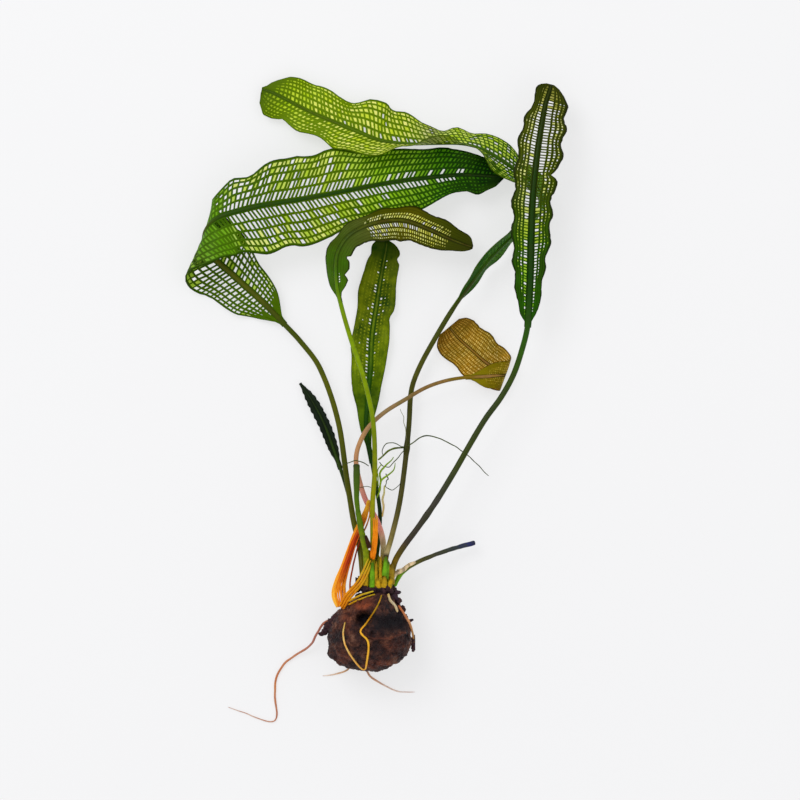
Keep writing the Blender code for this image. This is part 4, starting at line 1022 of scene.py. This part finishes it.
orangeLook = {"slot": "orange_root"}
orangeRoots = (
    {"name": "rootBack", "node": "root_back", "strands": ((0, 0, 0), (-0.75, 0.6, 0.1), (0.7, -0.6, -0.2)),
     "route": ((-10.5, 8.6, 16.8, 0.5), (-8.6, 12.2, 18.4, 0.55), (-6.7, 14.6, 19.6, 0.55),
               (-3, 19.1, 20.8, 0.5), (-0.75, 24, 20.6, 0.42), (0.4, 26.6, 19.4, 0.3)),
     "colours": ((0, 244, 150, 20), (0.4, 226, 150, 20), (0.7, 206, 164, 30), (1, 186, 180, 30)),
     "spots": (214, 116, 10)},
    {"name": "rootStrip", "node": "root_strip", "flat": 0.6,
     "strands": ((0, 0, 0), (0.65, 0.7, -0.15), (-0.6, -0.4, -0.1), (0.2, -0.8, -0.2)), "wobble": 0.3,
     "route": ((2, 42.6, 16.4, 0.22), (2.1, 40, 16.8, 0.34), (2.1, 36, 17.4, 0.42), (1.6, 31, 17.9, 0.55),
               (1.3, 28, 18.2, 0.68), (1.3, 27.2, 18.2, 0.4)),
     "colours": ((0, 214, 150, 36), (0.4, 244, 150, 14), (1, 240, 130, 6)), "spots": (224, 110, 10)},
    {"name": "rootOver", "node": "root_over", "strands": ((0, 0, 0), (-0.5, 1.2, 0.6)),
     "route": ((-10.2, 8.4, None, 0.4), (-8.4, 9.6, None, 0.46), (-6, 10.8, None, 0.46),
               (-3.2, 12.3, None, 0.42), (0, 13.4, None, 0.4), (2.2, 14, None, 0.3)),
     "colours": ((0, 240, 150, 20), (0.4, 214, 160, 24), (1, 190, 170, 40)), "spots": (190, 120, 16)},
    {"name": "rootZigzag", "node": "root_zigzag", "wobble": 0.05,
     "route": ((4.5, 13.8, None, 0.28), (3.2, 10.4, None, 0.32), (1.4, 7.3, None, 0.38),
               (-1, 3.6, None, 0.4), (-3.4, 0.4, None, 0.42), (-0.8, -2.4, None, 0.46),
               (-0.3, -5.2, None, 0.42), (-0.9, -10, None, 0.42), (-2.1, -14.2, None, 0.4),
               (-6.2, -9.6, None, 0.4), (-9, -4.3, None, 0.4), (-9.7, -0.2, None, 0.36),
               (-9, 4, None, 0.3)),
     "colours": ((0, 140, 130, 30), (0.12, 150, 120, 20), (0.2, 214, 150, 30), (0.3, 250, 190, 50),
                 (0.55, 250, 190, 60), (0.7, 240, 190, 96), (0.9, 236, 206, 130), (1, 190, 160, 80)),
     "spots": (236, 150, 30)},
)

paleLook = {"slot": "pale_root", "through": 0.5}
paleRoots = (
    {"name": "rootLong", "node": "root_long",
     "route": ((-12, 5, 15.8, 0.5), (-14.6, 4.2, 14, 0.55), (-17.6, 2.2, 10.6, 0.52), (-19.6, -1, 6.6, 0.5),
               (-22.4, -6, 3, 0.48), (-27, -9.2, 1.2, 0.46), (-32.2, -13.1, 0.7, 0.45),
               (-35.2, -18.4, 0.6, 0.45), (-35.6, -25.5, 0.6, 0.42), (-34.9, -32.4, 0.5, 0.36),
               (-36, -34.6, 0.5, 0.3), (-40, -34.2, 0.5, 0.26), (-46.9, -31.4, 0.5, 0.22),
               (-53.2, -29.3, 0.5, 0.16)),
     "colours": ((0, 236, 140, 60), (0.06, 210, 140, 110), (0.25, 204, 150, 136), (0.4, 222, 168, 130),
                 (0.55, 226, 160, 96), (0.7, 216, 160, 126), (0.82, 226, 196, 176), (1, 234, 222, 214)),
     "spots": (200, 130, 100)},
    {"name": "rootLowRight", "node": "root_low_right",
     "route": ((-2.4, -12.6, 1.8, 0.4), (0, -17.6, 0.8, 0.45), (3.8, -20.2, 0.6, 0.4),
               (10.5, -23.4, 0.5, 0.3), (16.9, -23.6, 0.5, 0.18)),
     "colours": ((0, 90, 50, 36), (0.25, 226, 186, 150), (0.5, 240, 220, 206), (1, 246, 240, 238)),
     "spots": (216, 180, 160)},
    {"name": "rootLowLeft", "node": "root_low_left",
     "route": ((-6.4, -12, 1.8, 0.4), (-8.6, -15.4, 0.9, 0.4), (-12.4, -16.8, 0.6, 0.32),
               (-18, -17.6, 0.5, 0.2)),
     "colours": ((0, 140, 90, 50), (0.4, 236, 206, 170), (1, 246, 238, 232)),
     "spots": (220, 180, 140)},
    {"name": "rootWhite", "node": "root_white",
     "route": ((7, 14.2, None, 0.45), (7.6, 11.7, None, 0.62), (9.5, 9.7, None, 0.62),
               (10.3, 7.2, None, 0.45)),
     "colours": ((0, 250, 220, 130), (0.5, 255, 246, 220), (1, 246, 226, 180)),
     "spots": (236, 206, 140)},
    {"name": "rootSide", "node": "root_side",
     "route": ((10.8, 10, 20, 0.4), (12.8, 6.6, 18.9, 0.5), (14.9, 2.8, 16.6, 0.5), (16.1, -1.8, 14, 0.45),
               (16.5, -4.8, 12, 0.25)),
     "colours": ((0, 226, 140, 84), (0.4, 240, 190, 140), (0.8, 214, 170, 100), (1, 150, 110, 70)),
     "spots": (214, 130, 80)},
    {"name": "rootCream", "node": "root_cream", "wobble": 0.5,
     "route": ((5.8, 54.4, 10.4, 0.3), (5.1, 50, 10.6, 0.45), (5, 45.6, 11, 0.45), (4.5, 42.4, 11.6, 0.3)),
     "colours": ((0, 214, 214, 140), (0.5, 232, 218, 176), (1, 222, 190, 110)),
     "spots": (206, 190, 110)},
)

threadLook = {"slot": "thread", "step": 0.5, "spots": (80, 90, 30),
              "colours": ((0, 46, 56, 20), (0.5, 54, 70, 22), (1, 40, 48, 22))}
limeLook = {"spots": (90, 120, 20),
            "colours": ((0, 120, 150, 26), (0.5, 146, 176, 30), (1, 110, 140, 30))}
threads = (
    {"name": "threadRight", "node": "thread_right", "step": 0.9, "wobble": 0.3,
     "route": ((14, 68.8, 7.2, 0.25), (20.4, 72.3, 7.6, 0.28), (25.2, 71.8, 8.2, 0.25),
               (34.1, 67, 9.4, 0.22), (40, 62, 9, 0.2), (44.2, 57.4, 8.4, 0.16)), "spots": (90, 100, 30)},
    {"name": "threadThick", "node": "thread_thick", "step": 0.6, "wobble": 0.4,
     "route": ((3.2, 63.6, 7, 0.3), (5.8, 66, 6.8, 0.42), (8.4, 67.3, 6.8, 0.42), (11.2, 68, 7, 0.36),
               (13.2, 68.2, 7.3, 0.3)),
     "colours": ((0, 126, 142, 30), (0.5, 96, 110, 26), (1, 46, 54, 22)), "spots": (60, 70, 20)},
    {"name": "threadTuft", "node": "thread_tuft", "step": 0.6, "wobble": 0.8,
     "route": ((3.9, 52.4, 12.2, 0.35), (4, 56.6, 11.6, 0.45), (5.2, 60.6, 11, 0.4),
               (8.6, 64.6, 10.4, 0.2)), **limeLook},
    {"name": "threadLeft", "step": 0.6, "wobble": 0.5,
     "route": ((-9.6, 62.4, 9.4, 0.2), (-5, 63.2, 10.4, 0.22), (-0.4, 61.2, 10.6, 0.2))},
    {"name": "threadLoop", "wobble": 0.4,
     "route": ((13.4, 68.5, 7.6, 0.2), (11.6, 68.9, 7.8, 0.2), (8.6, 69.8, 8.2, 0.2), (5.6, 69, 8.6, 0.2),
               (4.5, 66.8, 8.6, 0.18), (4.9, 64.9, 8.2, 0.14))},
    {"name": "threadLower", "wobble": 0.5,
     "route": ((3.8, 63, 8, 0.16), (5.2, 61.5, 8.4, 0.2), (7.5, 60.8, 8.4, 0.2), (10.1, 63.8, 8, 0.2),
               (12, 66.6, 7.6, 0.18), (13.3, 67.9, 7.7, 0.16))},
    {"name": "threadSquiggle", "wobble": 0.9,
     "route": ((6.4, 58.9, 9.6, 0.2), (7.1, 57.4, 9.6, 0.28), (6, 55.9, 9.8, 0.24), (6.6, 54.4, 10, 0.2),
               (6.4, 52.9, 10, 0.18), (7.9, 51.9, 9.6, 0.18), (11.2, 55.1, 8.6, 0.14))},
    {"name": "threadShort", "wobble": 0.4,
     "route": ((-3.6, 53.4, 12.6, 0.12), (-1.5, 54, 13.4, 0.16), (0.6, 53.2, 13.6, 0.14))},
    {"name": "threadPale", "step": 0.7, "wobble": 0.5,
     "route": ((11.6, 82.9, 8.6, 0.1), (12.8, 78.4, 7.6, 0.14), (13.5, 71.6, 6.6, 0.14)),
     "colours": ((0, 150, 150, 120), (1, 110, 112, 70)), "spots": (100, 104, 70)},
    {"name": "tuftUpper", "wobble": 0.7,
     "route": ((2.8, 49.5, 13.2, 0.3), (4.9, 55.9, 12, 0.4), (8.3, 59.6, 11, 0.3), (9.6, 62.4, 10.6, 0.14)),
     **limeLook},
    {"name": "tuftInner", "wobble": 0.6,
     "route": ((3.6, 54, 13, 0.24), (2.9, 58.1, 12.6, 0.3), (4.4, 61.8, 12, 0.16)),
     **limeLook},
)

for look, specs in ((stalkLook, cutStalks), (orangeLook, orangeRoots), (paleLook, paleRoots),
                    (threadLook, threads)):
    for spec in specs:
        plainTube({**look, **spec})
print("stalks, roots and threads made")

# The orange roots that run together down the left of the stalks. Twins: aside, above, share of the radius.
bundle = {
    "route": ((-0.3, 48.8, 12.6, 0.2), (-0.8, 46.2, 12.6, 0.28), (-1.9, 42.1, 12.7, 0.32),
              (-3.4, 38.6, 12.8, 0.34), (-5.6, 33.4, 13, 0.34), (-8.1, 25.8, 13.2, 0.36),
              (-10.6, 17.6, 13.6, 0.4), (-10.9, 13.4, 14.6, 0.42), (-10.2, 9.2, 15.8, 0.38)),
    "spread": (0.25, 0.4, 0.75, 0.9, 0.85, 1.0, 1.4, 1.5, 0.9), "rise": (0.2, 0.6, 0.8, 0.6, 0.1),
    "places": (-1.7, -0.85, -0.05, 0.75, 2.4),
    "twins": ((0, 0, 0.95), (0.36, 0.3, 0.8), (-0.38, 0.1, 0.75)),
    # from the left strand to the right: the yellow of the left strand is partly a painted highlight and the
    # dark red of the right strand partly painted shade; the rest is the roots' own orange
    "colours": (((254, 196, 66), (250, 160, 30)), ((246, 156, 24), (204, 80, 12)),
                ((246, 146, 16), (166, 44, 8)), ((252, 176, 34), (212, 90, 14)),
                ((206, 100, 24), (140, 40, 12))),
}


def buildBundle():
    for strand, (light, deep) in enumerate(bundle["colours"]):
        parts = []
        twins = bundle["twins"][:1] if strand == 4 else bundle["twins"]  # the last strand runs alone
        for twin, (aside, above, thickness) in enumerate(twins):
            rows = []
            for index, ((x, y, z, radius), spread) in enumerate(zip(bundle["route"], bundle["spread"])):
                drift = 0.25 * noise.noise((index * 0.8, strand * 3.0, twin * 5.0))
                side = (bundle["places"][strand] + aside + drift) * spread
                rise = bundle["rise"][strand] * spread + above
                rows.append((x + side, y + side * 0.25, z + rise, radius * thickness))
            parts.append(routeTube("strand", rows, strand * 5 + twin, step=1.2, wobble=0.08))
        piece = joinPieces(parts, f"rootBundle{strand + 1}")
        colours = ((0, 214, 170, 40), (0.16, 226, 150, 30), (0.35, *deep), (0.6, *deep), (0.85, *light),
                   (1, *light))
        skin = skinMaterial(piece.name + "Skin", colours, deep, scale=300.0, roughness=0.28, through=0.1)
        finishPiece(piece, skin, f"root_bundle_{strand + 1}")
    print("root bundle made")


buildBundle()

# Dark crumbly lumps on the tuber: the middles and sizes of their knobs, in millimetres.
crownRim = {
    "knobs": ((-4.6, 15.9, 17.6, 1.5), (-3.0, 16.6, 18.6, 1.3), (-1.4, 15.8, 19.4, 1.6),
              (0.2, 15.9, 19.8, 1.2), (1.6, 15.3, 19.8, 1.5), (3.1, 15.9, 20.0, 1.4),
              (4.6, 15.3, 19.8, 1.7), (6.1, 16.2, 19.4, 1.4), (7.4, 15.2, 18.2, 1.5),
              (8.5, 13.7, 17.2, 1.3), (2.3, 13.8, 19.8, 1.1), (4.7, 13.3, 20.0, 1.3),
              (6.8, 13.0, 19.0, 1.1), (-5.8, 15.4, 15.2, 1.5), (8.9, 14.9, 14.8, 1.4),
              (-5.2, 15.8, 12.2, 1.5), (8.4, 15.2, 11.6, 1.5), (-2.6, 16.0, 9.8, 1.6),
              (0.6, 16.2, 8.8, 1.6), (4.0, 16.0, 9.2, 1.6), (6.6, 15.7, 10.0, 1.4), (-3.7, 18.6, 16.8, 1.0),
              (-3.8, 20.0, 16.6, 0.7), (9.6, 12.9, 17.0, 0.9)),
    "colours": ((0, 50, 32, 40), (0.5, 72, 44, 46), (1, 44, 28, 38)), "spots": (18, 12, 18),
}
tuberStub = {
    "knobs": ((-12.4, 4.8, 15.4, 1.9), (-13.8, 3.2, 14.6, 2.0), (-15.0, 1.8, 13.6, 1.9),
              (-15.9, 0.6, 12.8, 1.6), (-16.9, -0.5, 12.2, 1.3), (-17.8, -1.1, 11.9, 1.0),
              (-18.5, -1.2, 11.8, 0.7), (-15.8, 2.6, 13.2, 1.0), (12.2, 8.4, 16.6, 1.3),
              (13.2, 5.4, 15.6, 1.1), (10.6, 11.4, 16.8, 1.3), (15.7, -3.4, 12.8, 1.0),
              (15.7, -4.8, 12.2, 0.9), (16.0, -6.2, 11.8, 0.8), (16.1, -7.4, 11.6, 0.6)),
    "colours": ((0, 58, 34, 44), (0.5, 74, 44, 40), (1, 50, 30, 40)), "spots": (20, 12, 18),
}


def buildKnobs(name, spec):
    parts = []
    for index, (x, y, z, size) in enumerate(spec["knobs"]):
        part = newBall(4, size)
        for vert in part.data.vertices:
            place = Vector(vert.co) + Vector((index * 3.7, 0, 0))
            swell = 1 + 0.35 * noise.noise(place * 0.9) - 0.3 * abs(noise.noise(place * 2.2))
            vert.co = (Vector((x, y, z)) + Vector(vert.co) * swell) * mm
        parts.append(part)
    piece = joinPieces(parts, name)
    skin = skinMaterial(name + "Skin", spec["colours"], spec["spots"], amount=0.8, scale=500.0, roughness=0.5,
                        bump=0.8, shine=0.12)
    finishPiece(piece, skin, levels=0)


buildKnobs("crownRim", crownRim)
buildKnobs("tuberStub", tuberStub)

# Scraps of old sheath round the crown, each a curved plate: foot x, y, z, width, length, heading, tilt, lean.
scraps = {
    "sheathLeft": {"node": "sheath_left", "slot": "sheath", "colour": (62, 32, 14), "plates": (
        (0, 31, 19.6, 1.7, 5.2, 108, 2, 0), (-4.2, 16.6, 16.4, 1.8, 4.0, 100, 10, 20))},
    "sheathRight": {"node": "sheath_right", "slot": "sheath", "colour": (166, 136, 30), "plates": (
        (8.2, 17.4, 16.8, 2.2, 8.2, 90, 2, -14), (7.2, 20.4, 17.4, 1.4, 6.4, 92, 4, 0))},
    "goldTissue": {"slot": "sheath", "colour": (212, 168, 24), "plates": (
        (3.4, 16.2, 20.6, 1.8, 4.0, 96, 6, 0), (5.2, 16.4, 20.4, 2.2, 4.6, 84, 4, -8),
        (7.0, 16.2, 19.4, 1.8, 4.2, 72, 2, -20), (-1.6, 16.4, 19.6, 1.8, 7.0, 84, 4, 10),
        (2.2, 16.2, 19.8, 1.5, 10.6, 89, 1, 0), (4.0, 17.0, 19.2, 1.3, 12.6, 90, -4, 0))},
    "innerTissue": {"slot": "sheath", "colour": (168, 160, 24), "plates": (
        (0, 15.8, 14.6, 5.2, 14.6, 91, 0, 0), (3.4, 15.8, 14.8, 4.4, 13, 90, 0, 0),
        (6.4, 15.8, 13.8, 4.0, 9.6, 84, 0, -10))},
    "greenBases": {"slot": "stalk", "colour": (114, 172, 24), "plates": (
        (0.9, 16.4, 20.4, 2.0, 9.8, 89, 0, 0), (5.4, 20.6, 19.8, 1.9, 7.8, 84, -2, -6),
        (6.2, 19.4, 18.6, 1.4, 6.8, 84, -2, -14))},
    "creamTissue": {"slot": "sheath", "colour": (250, 222, 176), "plates": (
        (7.6, 19.6, 12.6, 2.0, 4.6, 40, 4, 0), (10.2, 21.8, 12.6, 2.0, 3.4, 20, 6, 10),
        (12.4, 22.6, 12.0, 1.6, 3.4, 44, -4, 0), (14.4, 24.4, 11.2, 1.4, 3.2, 22, -4, 10))},
    "dryFlakes": {"slot": "tuber", "colour": (62, 42, 54), "plates": (
        (8.4, 13.6, 18.0, 1.8, 3.4, -42, -8, 0), (9.2, 14.4, 16.6, 1.8, 2.6, 2, -6, 0),
        (16.2, -1.4, 12.6, 1.2, 6.4, -86, -10, 30), (14.2, 3.6, 14.6, 1.2, 2.4, 20, 10, 0))},
}
scrapWall = 0.3  # how thick the scraps are, in millimetres


def buildScraps(name, spec):
    parts = []
    for index, (x, y, z, width, length, heading, tilt, lean) in enumerate(spec["plates"]):
        part = newGrid(8, 6)
        turn, rise, roll = math.radians(heading), math.radians(tilt), math.radians(lean)
        forward = Vector((math.cos(turn) * math.cos(rise), math.sin(turn) * math.cos(rise), math.sin(rise)))
        level = Vector((math.sin(turn), -math.cos(turn), 0))
        up = level.cross(forward)
        side, top = level * math.cos(roll) + up * math.sin(roll), up * math.cos(roll) - level * math.sin(roll)
        for vert in part.data.vertices:
            along, across = (vert.co.x + 1) / 2, vert.co.y
            ragged = 1 - 0.3 * abs(noise.noise((across * 2.2, index * 4.1, 1.0)))
            half = width / 2 * (1 - 0.55 * along ** 2.2)
            bow = (1 - across ** 2) * width * 0.3
            spot = Vector((x, y, z)) + forward * (along * length * ragged) + side * (across * half)
            spot += top * (bow + 0.25 * noise.noise((along * 2, across * 2, index * 3.0)))
            vert.co = spot * mm
        addWall(part, scrapWall)
        parts.append(part)
    piece = joinPieces(parts, name)
    dark = tuple(round(c * 0.6) for c in spec["colour"])
    colours = ((0, *spec["colour"]), (0.6, *spec["colour"]), (1, *dark))
    skin = skinMaterial(name + "Skin", colours, dark, amount=0.6, scale=500.0, roughness=0.4,
                        through=0.1, bump=0.6)
    finishPiece(piece, skin, spec.get("node"))


for name, spec in scraps.items():
    buildScraps(name, spec)
print("sheath scraps made")

# Table, light and camera.
plantMiddle = Vector((0.01, 0.08, 0.0))
table = {"size": 4.0, "colour": (144, 144, 146), "spots": (141, 141, 144),
         "glow": 0.625, "world": 0.74, "key": 10.5, "fill": 2.3}  # it glows, as the photo is overexposed
view = {"place": (0.01125, 0.085875, 1.6), "sensor": 36.0, "lens": 192.0}  # from above, 0.3 m wide

deselectAll()
bpy.ops.mesh.primitive_plane_add(size=table["size"], location=plantMiddle)
floor = bpy.context.object
floor.name = "table"
floorMaterial, floorTree, floorShader = newMaterial("tableWhite")
floorSkin = addGroup(floorTree, mottle, Color=paint(*table["colour"]), Spots=paint(*table["spots"]),
                     Amount=0.4, Scale=3.0, Roughness=0.55)
for label, value in (("Base Color", floorSkin["Color"]), ("Roughness", 0.6), ("Specular IOR Level", 0.1),
                     ("Emission Color", (1, 1, 1, 1)), ("Emission Strength", table["glow"])):
    feed(floorTree, floorShader.inputs[label], value)
floor.data.materials.append(floorMaterial)

world = bpy.data.worlds.new("studio")
bpy.context.scene.world = world
world.use_nodes = True
sky = world.node_tree.nodes["Background"].inputs
sky["Color"].default_value = (1, 1, 1, 1)
sky["Strength"].default_value = table["world"]


def addLamp(name, place, size, power):
    lamp = bpy.data.lights.new(name, 'AREA')
    lamp.size = size
    lamp.energy = power
    holder = bpy.data.objects.new(name, lamp)
    bpy.context.scene.collection.objects.link(holder)
    holder.location = place
    holder.rotation_euler = (plantMiddle - Vector(place)).to_track_quat('-Z', 'Y').to_euler()


addLamp("keyLight", (-0.7, 0.9, 1.3), 0.9, table["key"])
addLamp("fillLight", (0.9, -0.6, 1.2), 1.4, table["fill"])

cameraData = bpy.data.cameras.new("camera")
cameraData.sensor_width = view["sensor"]
cameraData.lens = view["lens"]
camera = bpy.data.objects.new("camera", cameraData)
camera.location = view["place"]
bpy.context.scene.collection.objects.link(camera)
bpy.context.scene.camera = camera
bpy.context.scene.view_settings.view_transform = 'Standard'

print("scene ready")
